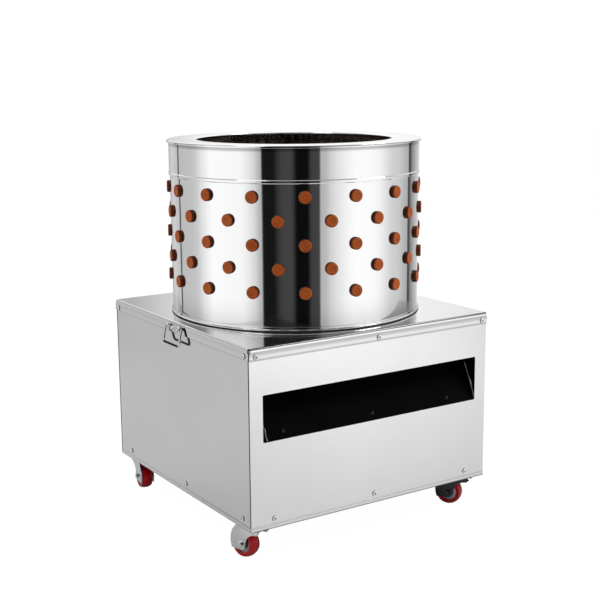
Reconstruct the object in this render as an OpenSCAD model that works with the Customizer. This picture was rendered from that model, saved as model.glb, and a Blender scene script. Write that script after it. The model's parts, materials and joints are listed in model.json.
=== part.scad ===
// Drum poultry plucker: a barrel lined with rubber fingers over a spinning finger plate,
// in a cabinet on casters that holds the belt drive and lets the feathers out in front.
// Millimetres. The origin is on the floor under the drum's axis, and the outlet faces -Y.

/* [Cabinet] */
// Width of the lid across its folded sides
lid_w = 622.3; // [621:0.1:700]
// Depth of the lid, front to back
lid_d = 622.3; // [621:0.1:700]
// Height of the lid's top above the floor
lid_top_z = 457.2; // [445:0.1:500]
// Depth of the lid's folded sides
skirt_h = 24; // [16:0.5:34]
// Thickness of all the cabinet and drum sheets
sheet_t = 1.5; // [1:0.1:2]
// Gap between the lid's sides and the panels inside them
lid_fit = 0.5; // [0.3:0.1:1.5]
// Outside radius of the lid's folded edges
bend_r = 3.5; // [2.5:0.5:6]
// Height of the folded hem at the bottom of the panels
hem_h = 9.5; // [6:0.5:14]
// Height of the panels' lower edge above the floor
panel_foot = 74.7; // [74.5:0.1:78]
// Open gap between the side panels' edges and the front and back panels
corner_gap = 3.5; // [1:0.5:6]

/* [Drum] */
// Outside radius of the barrel sheet
drum_r = 280; // [262:0.5:281]
// Height of the barrel with its top ring
drum_h = 444.5; // [432:0.5:450]
// How far the drum's top stands above the lid
drum_above = 385; // [375:0.5:390]
// Height of the collar band under the top ring
collar_h = 76; // [60:1:85]
// Radius of the mouth in the top ring
mouth_r = 219.4; // [205:0.5:240]
// How far the top ring overhangs the barrel
ring_overhang = 5.75; // [4:0.25:8]
// Depth of the top ring's turned-down lip
ring_lip = 5; // [4:0.5:10]
// Height of the band where the barrel meets the lid
base_band_h = 8; // [6:0.5:12]
// Thickness of the rubber gasket between that band and the lid
gasket_t = 2.2; // [1.5:0.1:3]

/* [Rubber fingers] */
// Rows of fingers in the barrel
finger_rows = 5; // [3:1:5]
// Fingers in one row of the barrel
row_count = 16; // [12:1:18]
// Height between two rows
row_pitch = 49.6; // [44:0.1:52]
// Drop from the drum's top to the first row
first_row_drop = 104.5; // [98:0.5:112]
// Turn of the first row about the drum's axis, in degrees
row_turn = -6; // [-11:0.5:11]
// Diameter of a finger's head
head_d = 27; // [24:0.5:30]
// Thickness of a finger's head
head_h = 7; // [4:0.5:9]
// Diameter of the neck in its hole
neck_d = 19.8; // [17:0.2:21]
// Length of a finger from the sheet to its tip
finger_l = 88; // [70:1:95]
// Diameter of a finger at its tip
tip_d = 14; // [11:0.5:16]
// Rings along a finger
finger_rings = 8; // [5:1:10]

/* [Finger plate] */
// Gap between the finger plate's edge and the barrel
plate_gap = 18; // [12:0.5:26]
// Thickness of the finger plate
plate_t = 4; // [3:0.5:6]
// Height of the plate's underside above the barrel's bottom edge
plate_lift = 12; // [9:0.5:16]
// Radius of the inner ring of plate fingers
ring_first_r = 92; // [85:1:100]
// Distance from one ring of plate fingers to the next
ring_pitch = 66; // [55:1:68]

/* [Outlet] */
// Margin of the front panel beside the outlet
outlet_side = 30.15; // [29.15:0.05:69.15]
// Height of the outlet
outlet_h = 99; // [80:1:104]
// Height of the outlet's lower edge above the floor
outlet_z = 259.5; // [250:0.5:266]
// Corner radius of the outlet
outlet_r = 2.5; // [2:0.5:12]
// Steepness of the slide behind the outlet, in degrees
slide_deg = 57; // [50:1:62]
// Rise of the slide above the outlet's lower edge
slide_rise = 86; // [78:1:90]
// Height of the deck's rear edge below the barrel
deck_gap = 6; // [4:0.5:10]

/* [Frame] */
// Leg of the lower angle ring, which carries the casters
base_leg = 60; // [56:1:62]
// Leg of the upper angle ring
top_leg = 25; // [20:0.5:25]
// Leg of the corner posts and side rails
post_leg = 20; // [15:0.5:20]
// Thickness of the angle steel
angle_t = 3; // [2.5:0.5:4]
// Height of the drive plate's underside above the floor
drive_z = 182; // [176:1:190]
// Thickness of the drive plate
drive_t = 6; // [5:0.5:8]
// Height of the spindle beam's top above the floor
beam_z = 328; // [318:1:330]

/* [Drive] */
// Radius of the spindle
spindle_r = 15; // [12:0.5:17]
// Pitch radius of the large pulley
big_pulley_r = 145; // [120:1:150]
// Pitch radius of the motor's pulley
small_pulley_r = 33; // [28:1:36]
// Distance from the spindle to the motor shaft
shaft_gap = 205; // [198:1:212]
// Height of the belt's middle above the floor
belt_z = 124; // [118:1:132]
// Width of the V-belt at its back
belt_w = 13; // [10:0.5:14]
// Height of the V-belt's section
belt_h = 8; // [6:0.5:9]
// Radius of the motor's body, with its fins
motor_r = 72; // [62:1:78]
// Length of the motor's finned body
motor_l = 118; // [100:1:122]
// Radius of the motor's shaft
motor_shaft_r = 9.5; // [7:0.5:11]

/* [Casters] */
// Radius of the wheels
wheel_r = 30; // [26:0.25:31]
// Width of the wheels
wheel_w = 25; // [20:0.5:26]
// Height of a whole caster
caster_h = 82.5; // [81:0.1:82.5]
// Distance from the swivel axis to the wheel's axle
caster_trail = 32; // [28:0.5:35]
// How far a fork leg reaches beyond the axle
leg_front = 29; // [24:0.5:30]
// Side of the caster's top plate
caster_plate = 48; // [42:1:50]
// Thickness of the caster's top plate
caster_plate_t = 2.5; // [2:0.5:3.5]

/* [Handles] */
// Width of a drop handle between the middles of its legs
handle_w = 73; // [62:1:90]
// Drop of the handle below its eyes
handle_drop = 37; // [30:1:45]
// Diameter of the handle's wire
handle_wire_d = 5; // [4:0.5:6]
// How far the handles stand out from the panels, in degrees
handle_lean = 12; // [0:1:30]

/* [Switch] */
// Width of the switch box
switch_w = 82; // [70:1:110]
// Height of the switch box
switch_h = 118; // [100:1:150]
// Depth of the switch box
switch_d = 46; // [36:1:60]
// Diameter of the push buttons
button_d = 24; // [18:1:28]
// Travel of the push buttons
button_travel = 4; // [2:0.5:5]

/* [Hidden] */
$fn = 96;

// Running clearance round a shaft or pin, and the gap kept between bodies that pass
shaft_fit = 0.05;
air = 0.3;
// Gap left between sheets that are fixed to one another
sheet_seat = 0.05;

// Cabinet faces. Panels stand inside the lid's sides, and the frame inside the panels.
panel_w = lid_w - 2 * (sheet_t + lid_fit);
panel_d = lid_d - 2 * (sheet_t + lid_fit);
frame_w = panel_w - 2 * sheet_t;
frame_d = panel_d - 2 * sheet_t;
lid_under = lid_top_z - sheet_t;
panel_z0 = panel_foot;
panel_top = lid_under - (bend_r - sheet_t);
hem_out = 1;
outlet_w = panel_w - 2 * outlet_side;
corner_notch_r = 3.2;
corner_notch_in = 1.8;
corner_notch_h = 9;
corner_slit = 2.4;

// Drum heights
drum_top = lid_top_z + drum_above;
drum_bottom = drum_top - drum_h;
drum_in = drum_r - sheet_t;
barrel_top = drum_top - sheet_t;
band_t = 1.4;
bead_h = 8;
bead_out = 1.1;
band_z0 = lid_top_z + gasket_t;
band_foot = 2.2;
ring_r = drum_r + ring_overhang;
drum_hole_play = 0.3;

// Finger profile
neck_fit = 0.1;
head_seat = 0.1;
inner_seat = 0.45;
shoulder_d = head_d - 2;
shoulder_h = 5;
shank_d = neck_d + 1;
finger_hole_r = neck_d / 2 + neck_fit;
row_step = 360 / row_count;

// Finger plate
plate_r = drum_in - plate_gap;
plate_z = drum_bottom + plate_lift;
plate_rim_h = 7;
plate_rings = 3;
ring_base_count = 6;
hub_r = 28;
hub_flange_r = 62;
hub_flange_t = 5;
hub_drop = 20;
paddle_w = 60;
paddle_t = 3;
paddle_h = 11;
paddle_foot = 24;
paddle_edge = 8;
ring_turn = 15;
paddle_turn = plate_rings * ring_turn - 1.5 * 360 / (ring_base_count * plate_rings);

// Slide and deck: one folded sheet, drawn as the line of its upper face
slide_run = slide_rise / tan(slide_deg);
slide_y0 = -frame_d / 2;
knee_y = slide_y0 + slide_run;
knee_z = outlet_z + slide_rise;
deck_y1 = frame_d / 2;
deck_z1 = drum_bottom - deck_gap;
deck_slope = (deck_z1 - knee_z) / (deck_y1 - knee_y);
deck_deg = atan(deck_slope);
cheek_in = frame_w / 2 - top_leg - sheet_t;
cheek_under = 16;
cheek_knee = 12;
deck_hole_r = 40;
deck_collar_t = 2;
deck_collar_top = plate_z - head_h - 6;
deck_cut = 40;
slide_lip_l = 26;
slide_rivet_up = 17;
slide_rivets_x = [-225, 0, 205];

// Screws and rivets
screw_r = 2.4;
screw_hole_r = screw_r + 0.1;
screw_head_r = 6;
screw_head_h = 3.2;
screw_reach = 9;
rivet_r = 5.5;
rivet_sink = 2;
lid_screw_z = lid_top_z - 17.5;
lid_screw_inset = 16;
lid_screw_mid = 8;
side_screw_inset = 19;
panel_screw_z = panel_z0 + 20.5;
panel_screw_pitch = 254;
left_screws_y = [-274, -27, 251];

// Frame
post_x = frame_w / 2 - angle_t;
post_y = frame_d / 2 - angle_t;
rail_leg = post_leg;
post_lift = 8;
beam_w = 92;
beam_h = 30;
beam_t = 4;
beam_end_gap = 2;
plate_front = 80;

// Bearings
bearing_flange = 84;
bearing_flange_t = 11;
bearing_h = 26;
bearing_boss_r = 31;
bearing_corner_r = 8;
bearing_fillet = 6;
bearing_fillet_h = 7;
bearing_bolt_at = 32;
bearing_bolt_r = 4;
bolt_play = 0.2;
plate_hole_play = 5;

// Belt drive
groove_play = 0.35;
belt_slant = 0.8;
pulley_rim = 5;
pulley_side = 3.5;
pulley_h = belt_w + 2 * pulley_side;
pulley_hub_h = 26;
pulley_hub_r = 30;
pulley_web_t = 8;
pulley_web_r = big_pulley_r - belt_h - pulley_rim;
pulley_hole_r = 26;
pulley_holes = 6;
shaft_end = 2;
spindle_low = belt_z - pulley_hub_h / 2 - 4;
drive_top = drive_z + drive_t;
spindle_step = 3;
thread_l = 16;
washer_t = 3;
nut_r = 21;
nut_h = 12;
nut_dome_r = 17;
nut_dome_h = 8;
motor_flange_r = motor_r + 10;
motor_flange_t = 9;
motor_fins = 24;
fin_h = 7;
fin_t = 2.6;
fin_end = 6;
motor_z = drive_top + motor_flange_t;
cowl_h = 36;
cowl_r = motor_r - 3;
end_shield_t = 8;
motor_bolt_pcd = 2 * (motor_r - fin_h + 8);
motor_bolt_r = 4;
motor_hole_r = 32;
fan_lift = 6;
fan_h = cowl_h / 2;
fan_r = cowl_r - 9;
fan_hub_r = fan_r * 0.3;
fan_disc_t = 2.5;
fan_blades = 8;
fan_blade_t = 2;
cowl_hole_r = 4;
cowl_hole_pitch = 12;
terminal_w = 64;
terminal_h = 62;
terminal_out = 34;
terminal_root = 3;
terminal_up = 34;
terminal_hole_r = 8;
terminal_fit = 0.4;

// Casters, by corner: the side of the cabinet, and the way the wheel trails at rest
caster_sides = [[-1, -1], [1, -1], [-1, 1], [1, 1]];
caster_trails = [106, 124, -98, -62];
caster_x = frame_w / 2 - base_leg / 2;
caster_y = frame_d / 2 - base_leg / 2;
caster_bolt_r = 2.5;
caster_hole_at = caster_plate / 2 - 6.8;
raceway_r = 19.5;
raceway_h = 6;
fork_gap = 1.6;
fork_t = 2.2;
fork_inner = wheel_w / 2 + fork_gap;
crown_t = 3;
crown_back = 24;
leg_back_h = 4;
leg_back_r = 33;
leg_back_at = [-12, wheel_r - 4];
leg_front_r = 45;
leg_front_at = [caster_trail + leg_front - leg_front_r, wheel_r + 6];
leg_boss_r = 12;
axle_nut_r = 6;
axle_nut_h = 4.4;
axle_l = 2 * (fork_inner + fork_t) + axle_nut_h + 2;
crown_top = caster_h - caster_plate_t - raceway_h - air;
kingpin_r = 5;
axle_r = 3;
hub_rim_r = wheel_r - 5;
bore_r = axle_r + shaft_fit;

// Handles
eye_wall = 1.5;
eye_r = handle_wire_d / 2 + shaft_fit + eye_wall;
eye_l = 12;
bracket_h = 17;
eye_x = lid_w / 2 + eye_r;
eye_z = lid_top_z - 11;
handle_corner = 8;
handle_end = 2.5;
handle_elbow = 3;
bracket_side = 9;
bracket_rivet_y = 12;

// Switch box on the right panel, towards the back
switch_y = 170;
switch_z = 300;
switch_wall = 3;
button_proud = 6;
button_spread = 34;
button_bush_r = button_d / 2 + 4;
button_bush_h = 3;
button_play = 0.1;
button_collar = 4;
switch_corner = 8;
gland_r = 8;
gland_nut_r = 11.5;
gland_nut_h = 7;
gland_tail_h = 12;
gland_bore_r = 4.5;

// A ring of angle steel: upright leg outside, flat leg at its foot (or at its head)
module angle_ring(w, d, leg, t, flat_on_top) {
    flat_z = flat_on_top ? leg - t : 0;
    difference() {
        translate([-w / 2, -d / 2, 0])
            cube([w, d, leg]);
        translate([-w / 2 + t, -d / 2 + t, flat_on_top ? -1 : t])
            cube([w - 2 * t, d - 2 * t, leg - t + 1]);
        translate([-w / 2 + leg, -d / 2 + leg, flat_z - 1])
            cube([w - 2 * leg, d - 2 * leg, t + 2]);
    }
}

// An angle post in the +X +Y corner, its outer faces on x and y
module corner_post(x, y, z0, z1) {
    difference() {
        translate([x - post_leg, y - post_leg, z0])
            cube([post_leg, post_leg, z1 - z0]);
        translate([x - post_leg - 1, y - post_leg - 1, z0 - 1])
            cube([post_leg + 1 - angle_t, post_leg + 1 - angle_t, z1 - z0 + 2]);
    }
}

// A side rail between front and rear posts, flat leg on top at height z
module side_rail(side, z) {
    mirror([side < 0 ? 1 : 0, 0, 0]) {
        translate([post_x - rail_leg, -post_y + angle_t, z - angle_t])
            cube([rail_leg, 2 * (post_y - angle_t), angle_t]);
        translate([post_x - angle_t, -post_y + angle_t, z - rail_leg])
            cube([angle_t, 2 * (post_y - angle_t), rail_leg]);
    }
}

// A pan-head screw along +X, its seat at x = 0 and its shank going to -X
module pan_screw() {
    rotate([0, -90, 0]) {
        cylinder(r = screw_r, h = screw_reach);
        rotate([180, 0, 0])
            rotate_extrude()
                polygon([
                    [0, 0], [screw_head_r, 0], [screw_head_r, screw_head_h * 0.35],
                    [screw_head_r * 0.8, screw_head_h * 0.8], [screw_head_r * 0.45, screw_head_h],
                    [screw_head_r * 0.2, screw_head_h], [0, screw_head_h * 0.6]
                ]);
    }
}

// Places: front and back screws look along Y, side screws along X
module at_lid_screws(grow) {
    for (x = [-lid_w / 2 + lid_screw_inset, lid_screw_mid, lid_w / 2 - lid_screw_inset])
        translate([x, -lid_d / 2 - grow, lid_screw_z])
            rotate([0, 0, -90])
                children();
    for (x = [-lid_w / 2 + lid_screw_inset, 0, lid_w / 2 - lid_screw_inset])
        translate([x, lid_d / 2 + grow, lid_screw_z])
            rotate([0, 0, 90])
                children();
    for (side = [-1, 1], y = [-lid_d / 2 + side_screw_inset, lid_d / 2 - side_screw_inset])
        translate([side * (lid_w / 2 + grow), y, lid_screw_z])
            rotate([0, 0, side > 0 ? 0 : 180])
                children();
}

module at_panel_screws(grow) {
    for (end = [-1, 1], x = [-panel_screw_pitch, 0, panel_screw_pitch])
        translate([x, end * (panel_d / 2 + grow), panel_screw_z])
            rotate([0, 0, end * 90])
                children();
    for (y = [-panel_screw_pitch, 0, panel_screw_pitch])
        translate([panel_w / 2 + grow, y, panel_screw_z])
            children();
    for (y = left_screws_y)
        translate([-panel_w / 2 - grow, y, panel_screw_z])
            rotate([0, 0, 180])
                children();
}

module screw_hole() {
    rotate([0, -90, 0])
        translate([0, 0, -1])
            cylinder(r = screw_hole_r, h = screw_reach + 2);
}

module base_frame() color("dimgray")
    difference() {
        union() {
            translate([0, 0, caster_h])
                angle_ring(frame_w, frame_d, base_leg, angle_t, false);
            translate([0, 0, lid_under - top_leg])
                angle_ring(frame_w, frame_d, top_leg, angle_t, true);
            for (mx = [0, 1], my = [0, 1])
                mirror([mx, 0, 0])
                    mirror([0, my, 0])
                        corner_post(post_x, post_y, caster_h + angle_t + post_lift, lid_under - angle_t);
            for (side = [-1, 1]) {
                side_rail(side, drive_z);
                side_rail(side, beam_z - beam_t);
            }
        }
        at_lid_screws(0)
            screw_hole();
        at_panel_screws(0)
            screw_hole();
        for (c = caster_sides)
            translate([c[0] * caster_x, c[1] * caster_y, 0])
                caster_bolt_holes(caster_h - 1, angle_t + 2);
    }

// A flat panel in the XZ plane, outer face at y = 0, with its hem folded up outside
module panel_sheet(w) {
    translate([-w / 2, 0, panel_z0 + hem_out])
        cube([w, sheet_t, panel_top - panel_z0 - hem_out]);
    translate([-w / 2, -hem_out, panel_z0 + hem_out])
        cube([w, hem_out + 0.01, hem_h - hem_out]);
    translate([-w / 2, 0, panel_z0 + hem_out])
        rotate([0, 90, 0])
            cylinder(r = hem_out, h = w, $fn = 32);
    translate([-w / 2, 0, panel_z0])
        cube([w, sheet_t, hem_out + 0.01]);
}

// The outline of the outlet, with its round corners
module outlet_outline(grow) {
    w = outlet_w + 2 * grow;
    h = outlet_h + 2 * grow;
    r = outlet_r + grow;
    translate([-w / 2 + r, outlet_z - grow])
        square([w - 2 * r, h]);
    translate([-w / 2, outlet_z - grow + r])
        square([w, h - 2 * r]);
    for (x = [-w / 2 + r, w / 2 - r], z = [outlet_z - grow + r, outlet_z - grow + h - r])
        translate([x, z])
            circle(r = r, $fn = 32);
}

// The lip that the slide is riveted to, folded in from the outlet's lower edge
module slide_lip() {
    run = slide_lip_l * cos(slide_deg);
    rise = slide_lip_l * sin(slide_deg);
    drop = sheet_t / cos(slide_deg);
    lip_z = outlet_z - drop - sheet_seat;
    rotate([90, 0, 90])
        translate([0, 0, -outlet_w / 2 + outlet_r])
            linear_extrude(height = outlet_w - 2 * outlet_r)
                polygon([
                    [slide_y0 - 0.01, lip_z], [slide_y0 + run, lip_z + rise],
                    [slide_y0 + run, lip_z + rise - drop], [slide_y0 - 0.01, lip_z - drop]
                ]);
}

module front_panel() color("gainsboro")
    difference() {
        union() {
            translate([0, -panel_d / 2, 0])
                panel_sheet(panel_w);
            slide_lip();
        }
        translate([0, -frame_d / 2 + 0.5, 0])
            rotate([90, 0, 0])
                linear_extrude(height = sheet_t + hem_out + 2)
                    outlet_outline(0);
        at_lid_screws(0)
            screw_hole();
        at_panel_screws(0)
            screw_hole();
        at_slide_rivets()
            cylinder(r = screw_hole_r, h = 12, center = true);
    }

module back_panel() color("gainsboro")
    difference() {
        rotate([0, 0, 180])
            translate([0, -panel_d / 2, 0])
                panel_sheet(panel_w);
        at_lid_screws(0)
            screw_hole();
        at_panel_screws(0)
            screw_hole();
    }

module side_panel(side) {
    difference() {
        rotate([0, 0, side * 90])
            translate([0, -panel_w / 2, 0])
                panel_sheet(frame_d - 2 * corner_gap);
        at_lid_screws(0)
            screw_hole();
        at_panel_screws(0)
            screw_hole();
        if (side > 0)
            translate([panel_w / 2 - 5, switch_y, switch_z])
                rotate([0, 90, 0])
                    cylinder(r = 12, h = 10);
    }
}

module left_panel() color("silver")
    side_panel(-1);

module right_panel() color("silver")
    side_panel(1);

module panel_screws() color("whitesmoke")
    at_panel_screws(0)
        pan_screw();

module lid_screws() color("whitesmoke")
    at_lid_screws(0)
        pan_screw();

// The lid's outer form: two round-shouldered bars that cross
module lid_form(w, d, r, h) {
    intersection() {
        translate([0, d / 2, 0])
            rotate([90, 0, 0])
                linear_extrude(height = d)
                    shouldered(w, r, h);
        translate([-w / 2, 0, 0])
            rotate([90, 0, 90])
                linear_extrude(height = w)
                    shouldered(d, r, h);
    }
}

module shouldered(w, r, h) {
    translate([-w / 2, 0])
        square([w, h - r]);
    translate([-w / 2 + r, 0])
        square([w - 2 * r, h]);
    for (x = [-w / 2 + r, w / 2 - r])
        translate([x, h - r])
            circle(r = r, $fn = 48);
}

module lid_tray() color("white")
    difference() {
        translate([0, 0, lid_top_z - skirt_h])
            lid_form(lid_w, lid_d, bend_r, skirt_h);
        translate([0, 0, lid_top_z - skirt_h - 1])
            lid_form(lid_w - 2 * sheet_t, lid_d - 2 * sheet_t, bend_r - sheet_t, skirt_h + 1 - sheet_t);
        translate([0, 0, lid_top_z - 10])
            cylinder(r = drum_r + drum_hole_play, h = 20);
        for (mx = [0, 1], my = [0, 1])
            mirror([mx, 0, 0])
                mirror([0, my, 0]) {
                    translate([lid_w / 2, lid_d / 2, lid_top_z - skirt_h - 1])
                        rotate([0, 0, 45])
                            cube([corner_slit, corner_slit, 2 * (skirt_h - bend_r) + 2], center = true);
                    translate([
                        lid_w / 2 - corner_notch_in, lid_d / 2 - corner_notch_in, lid_top_z - corner_notch_h
                    ])
                        cylinder(r = corner_notch_r, h = corner_notch_h + 1, $fn = 48);
                }
        at_lid_screws(0)
            screw_hole();
        at_bracket_rivets()
            cylinder(r = screw_hole_r, h = 12, center = true);
    }

// One rubber finger along +Z through a sheet whose near face is at z = 0.
// The head is outside, at z < 0, and the ringed shank goes in.
module finger(hole_t, seat, seat_in, length) {
    z0 = hole_t + seat_in;
    z1 = z0 + shoulder_h;
    pitch = (length - z1) / finger_rings;
    rotate_extrude($fn = 32)
        polygon(concat(
            [
                [0, -seat - head_h], [head_d / 2 - 1.5, -seat - head_h],
                [head_d / 2, -seat - head_h + 1.5], [head_d / 2, -seat],
                [neck_d / 2, -seat], [neck_d / 2, z0],
                [shoulder_d / 2, z0], [shank_d / 2, z1]
            ],
            [for (i = [0 : finger_rings - 1])
                for (p = [[0.25, -1.4], [0.75, 0]])
                    [shank_d / 2 + (tip_d - shank_d) / 2 * (i + p[0]) / finger_rings + p[1],
                        z1 + (i + p[0]) * pitch]],
            [[tip_d / 2 - 2, length], [0, length]]
        ));
}

// Rows are staggered by half a step
function row_z(i) = drum_top - first_row_drop - i * row_pitch;
function row_angle(i) = row_turn + (i % 2) * row_step / 2;

module at_drum_fingers(first) {
    for (i = [first : 2 : finger_rows - 1], k = [0 : row_count - 1])
        rotate([0, 0, row_angle(i) + k * row_step])
            translate([drum_r, 0, row_z(i)])
                rotate([0, -90, 0])
                    children();
}

module drum_shell() color("white")
    difference() {
        translate([0, 0, drum_bottom])
            cylinder(r = drum_r, h = barrel_top - drum_bottom, $fn = 180);
        translate([0, 0, drum_bottom - 1])
            cylinder(r = drum_in, h = drum_h + 2, $fn = 180);
        for (first = [0, 1])
            at_drum_fingers(first)
                cylinder(r = finger_hole_r, h = 20, center = true);
    }

module drum_fingers_odd_rows() color("chocolate")
    at_drum_fingers(0)
        finger(sheet_t, head_seat, inner_seat, finger_l);

module drum_fingers_even_rows() color("chocolate")
    at_drum_fingers(1)
        finger(sheet_t, head_seat, inner_seat, finger_l);

// The collar band, with a raised bead along its lower edge
module drum_collar() color("white")
    rotate_extrude($fn = 180)
        polygon([
            [drum_r + sheet_seat, barrel_top], [drum_r + sheet_seat, barrel_top - collar_h],
            [drum_r + band_t, barrel_top - collar_h],
            [drum_r + band_t + bead_out, barrel_top - collar_h + 1.5],
            [drum_r + band_t + bead_out, barrel_top - collar_h + bead_h - 1.5],
            [drum_r + band_t, barrel_top - collar_h + bead_h],
            [drum_r + band_t, barrel_top]
        ]);

// The flat top ring: outer lip turned down over the collar, rolled edge at the mouth
module top_ring() color("white")
    rotate_extrude($fn = 180)
        union() {
            translate([mouth_r + 2, barrel_top])
                square([ring_r - mouth_r - 2 - sheet_t, sheet_t]);
            translate([ring_r - sheet_t, drum_top - ring_lip])
                square([sheet_t, ring_lip - sheet_t]);
            intersection() {
                translate([ring_r - sheet_t, barrel_top])
                    circle(r = sheet_t, $fn = 32);
                translate([ring_r - sheet_t, barrel_top])
                    square([sheet_t, sheet_t]);
            }
            translate([mouth_r + 2, drum_top - 2])
                circle(r = 2, $fn = 32);
        }

// The band that ties the barrel down to the lid, on its gasket
module base_band() color("white")
    rotate_extrude($fn = 180)
        polygon([
            [drum_r + sheet_seat, band_z0], [drum_r + band_t + band_foot, band_z0],
            [drum_r + band_t + band_foot, band_z0 + sheet_t], [drum_r + band_t, band_z0 + sheet_t + 1.5],
            [drum_r + band_t, band_z0 + base_band_h - 1], [drum_r + band_t - 0.6, band_z0 + base_band_h],
            [drum_r + sheet_seat, band_z0 + base_band_h]
        ]);

module foot_gasket() color("#101010")
    translate([0, 0, lid_top_z])
        difference() {
            cylinder(r = drum_r + band_t + band_foot - 0.4, h = gasket_t, $fn = 180);
            translate([0, 0, -1])
                cylinder(r = drum_r + sheet_seat, h = gasket_t + 2, $fn = 180);
        }

// Height of the deck's upper face at a depth y
function deck_z(y) = knee_z + (y - knee_y) * deck_slope;

// The folded sheet's outline in the YZ plane, thick by t below its upper face
module deck_outline() {
    drop_slide = sheet_t / cos(slide_deg);
    drop_deck = sheet_t / cos(deck_deg);
    knee_shift = (drop_slide - drop_deck) / (tan(slide_deg) - deck_slope);
    polygon([
        [slide_y0, outlet_z], [knee_y, knee_z], [deck_y1, deck_z1],
        [deck_y1, deck_z1 - drop_deck],
        [knee_y + knee_shift, knee_z + knee_shift * deck_slope - drop_deck],
        [slide_y0, outlet_z - drop_slide]
    ]);
}

module at_slide_rivets() {
    for (x = slide_rivets_x)
        translate([
            x, slide_y0 + slide_rivet_up * cos(slide_deg), outlet_z + slide_rivet_up * sin(slide_deg)
        ])
            rotate([slide_deg, 0, 0])
                children();
}

module feather_deck() color("#202020")
    difference() {
        union() {
            rotate([90, 0, 90])
                translate([0, 0, -cheek_in])
                    linear_extrude(height = 2 * cheek_in)
                        deck_outline();
            intersection() {
                translate([0, 0, deck_z(0) - 10])
                    cylinder(r = deck_hole_r + deck_collar_t, h = deck_collar_top - deck_z(0) + 10);
                space_above_deck(deck_hole_r + deck_cut / 2);
            }
        }
        translate([0, 0, deck_z(0) - deck_cut])
            cylinder(r = deck_hole_r, h = 2 * deck_cut);
        at_slide_rivets()
            cylinder(r = screw_hole_r, h = 12, center = true);
    }

// The space above the deck's underside, as far as reach on every side of the spindle
module space_above_deck(reach)
    rotate([90, 0, 90])
        translate([0, 0, -reach])
            linear_extrude(height = 2 * reach)
                polygon([
                    [-reach, deck_z(-reach) - sheet_t], [reach, deck_z(reach) - sheet_t],
                    [reach, deck_z(reach) + reach], [-reach, deck_z(-reach) + reach]
                ]);

// Side walls of the feather space, from the upper ring down past the deck
module chute_cheeks() color("#303030")
    for (side = [-1, 1])
        translate([side > 0 ? cheek_in : -cheek_in - sheet_t, 0, 0])
            rotate([90, 0, 90])
                linear_extrude(height = sheet_t)
                    polygon([
                        [slide_y0, outlet_z - cheek_under], [knee_y, knee_z - cheek_under - cheek_knee],
                        [deck_y1, deck_z1 - cheek_under], [deck_y1, lid_under - top_leg],
                        [deck_y1 - top_leg, lid_under - top_leg], [deck_y1 - top_leg, lid_under],
                        [slide_y0 + top_leg, lid_under], [slide_y0 + top_leg, lid_under - top_leg],
                        [slide_y0, lid_under - top_leg]
                    ]);

// A domed rivet head on z = 0, its shank below
module rivet(shank) {
    translate([0, 0, -shank])
        cylinder(r = screw_r, h = shank, $fn = 32);
    difference() {
        translate([0, 0, -rivet_sink])
            sphere(r = rivet_r, $fn = 32);
        translate([-rivet_r, -rivet_r, -2 * rivet_r])
            cube(2 * rivet_r);
    }
}

module at_bracket_rivets() {
    for (side = [-1, 1], y = [-bracket_rivet_y, bracket_rivet_y])
        translate([side * (lid_w / 2), y, eye_z - 4])
            rotate([0, side * 90, 0])
                children();
}

module sheet_rivets() color("silver") {
    at_slide_rivets()
        rivet(2 * sheet_t + 1);
    at_bracket_rivets()
        translate([0, 0, eye_wall])
            rivet(sheet_t + eye_wall + 0.3);
}

// Bearings: a square flange with a round boss, bored for the spindle
module flange_bearing(z) {
    difference() {
        union() {
            translate([0, 0, z])
                linear_extrude(height = bearing_flange_t)
                    rounded(bearing_flange, bearing_flange, bearing_corner_r);
            translate([0, 0, z])
                cylinder(r = bearing_boss_r, h = bearing_h);
            translate([0, 0, z + bearing_flange_t])
                cylinder(r1 = bearing_boss_r + bearing_fillet, r2 = bearing_boss_r, h = bearing_fillet_h);
        }
        translate([0, 0, z - 1])
            cylinder(r = spindle_r + shaft_fit, h = bearing_h + 2);
        at_bearing_bolts(z - 1)
            cylinder(r = bearing_bolt_r + bolt_play, h = bearing_flange_t + 2);
    }
}

module at_bearing_bolts(z) {
    for (x = [-1, 1], y = [-1, 1])
        translate([x * bearing_bolt_at, y * bearing_bolt_at, z])
            children();
}

module upper_bearing() color("darkslategray")
    flange_bearing(beam_z);

module lower_bearing() color("darkslategray")
    flange_bearing(drive_top);

// A hex bolt down through a stack of thickness grip, head on z = 0, nut below
module hex_bolt(r, grip) {
    translate([0, 0, -grip - 1.9 * r])
        cylinder(r = r, h = grip + 2 * r, $fn = 32);
    cylinder(r = 1.85 * r, h = 1.3 * r, $fn = 6);
    translate([0, 0, -grip - 1.6 * r])
        cylinder(r = 1.85 * r, h = 1.6 * r, $fn = 6);
}

module bearing_bolts() color("silver") {
    at_bearing_bolts(beam_z + bearing_flange_t)
        hex_bolt(bearing_bolt_r, bearing_flange_t + beam_t);
    at_bearing_bolts(drive_top + bearing_flange_t)
        hex_bolt(bearing_bolt_r, bearing_flange_t + drive_t);
}

// A channel across the cabinet, standing on the upper side rails
module spindle_beam() color("dimgray")
    difference() {
        union() {
            translate([-post_x + angle_t, -beam_w / 2, beam_z - beam_t])
                cube([2 * (post_x - angle_t), beam_w, beam_t]);
            for (y = [-beam_w / 2, beam_w / 2 - beam_t])
                translate([-post_x + rail_leg + beam_end_gap, y, beam_z - beam_h])
                    cube([2 * (post_x - rail_leg - beam_end_gap), beam_t, beam_h]);
        }
        translate([0, 0, beam_z - beam_t - 1])
            cylinder(r = spindle_r + plate_hole_play, h = beam_t + 2);
        at_bearing_bolts(beam_z - beam_t - 1)
            cylinder(r = bearing_bolt_r + bolt_play, h = beam_t + 2);
    }

module at_motor_bolts(z) {
    for (a = [45 : 90 : 315])
        translate([0, shaft_gap, 0])
            rotate([0, 0, a])
                translate([motor_bolt_pcd / 2, 0, z])
                    children();
}

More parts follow.
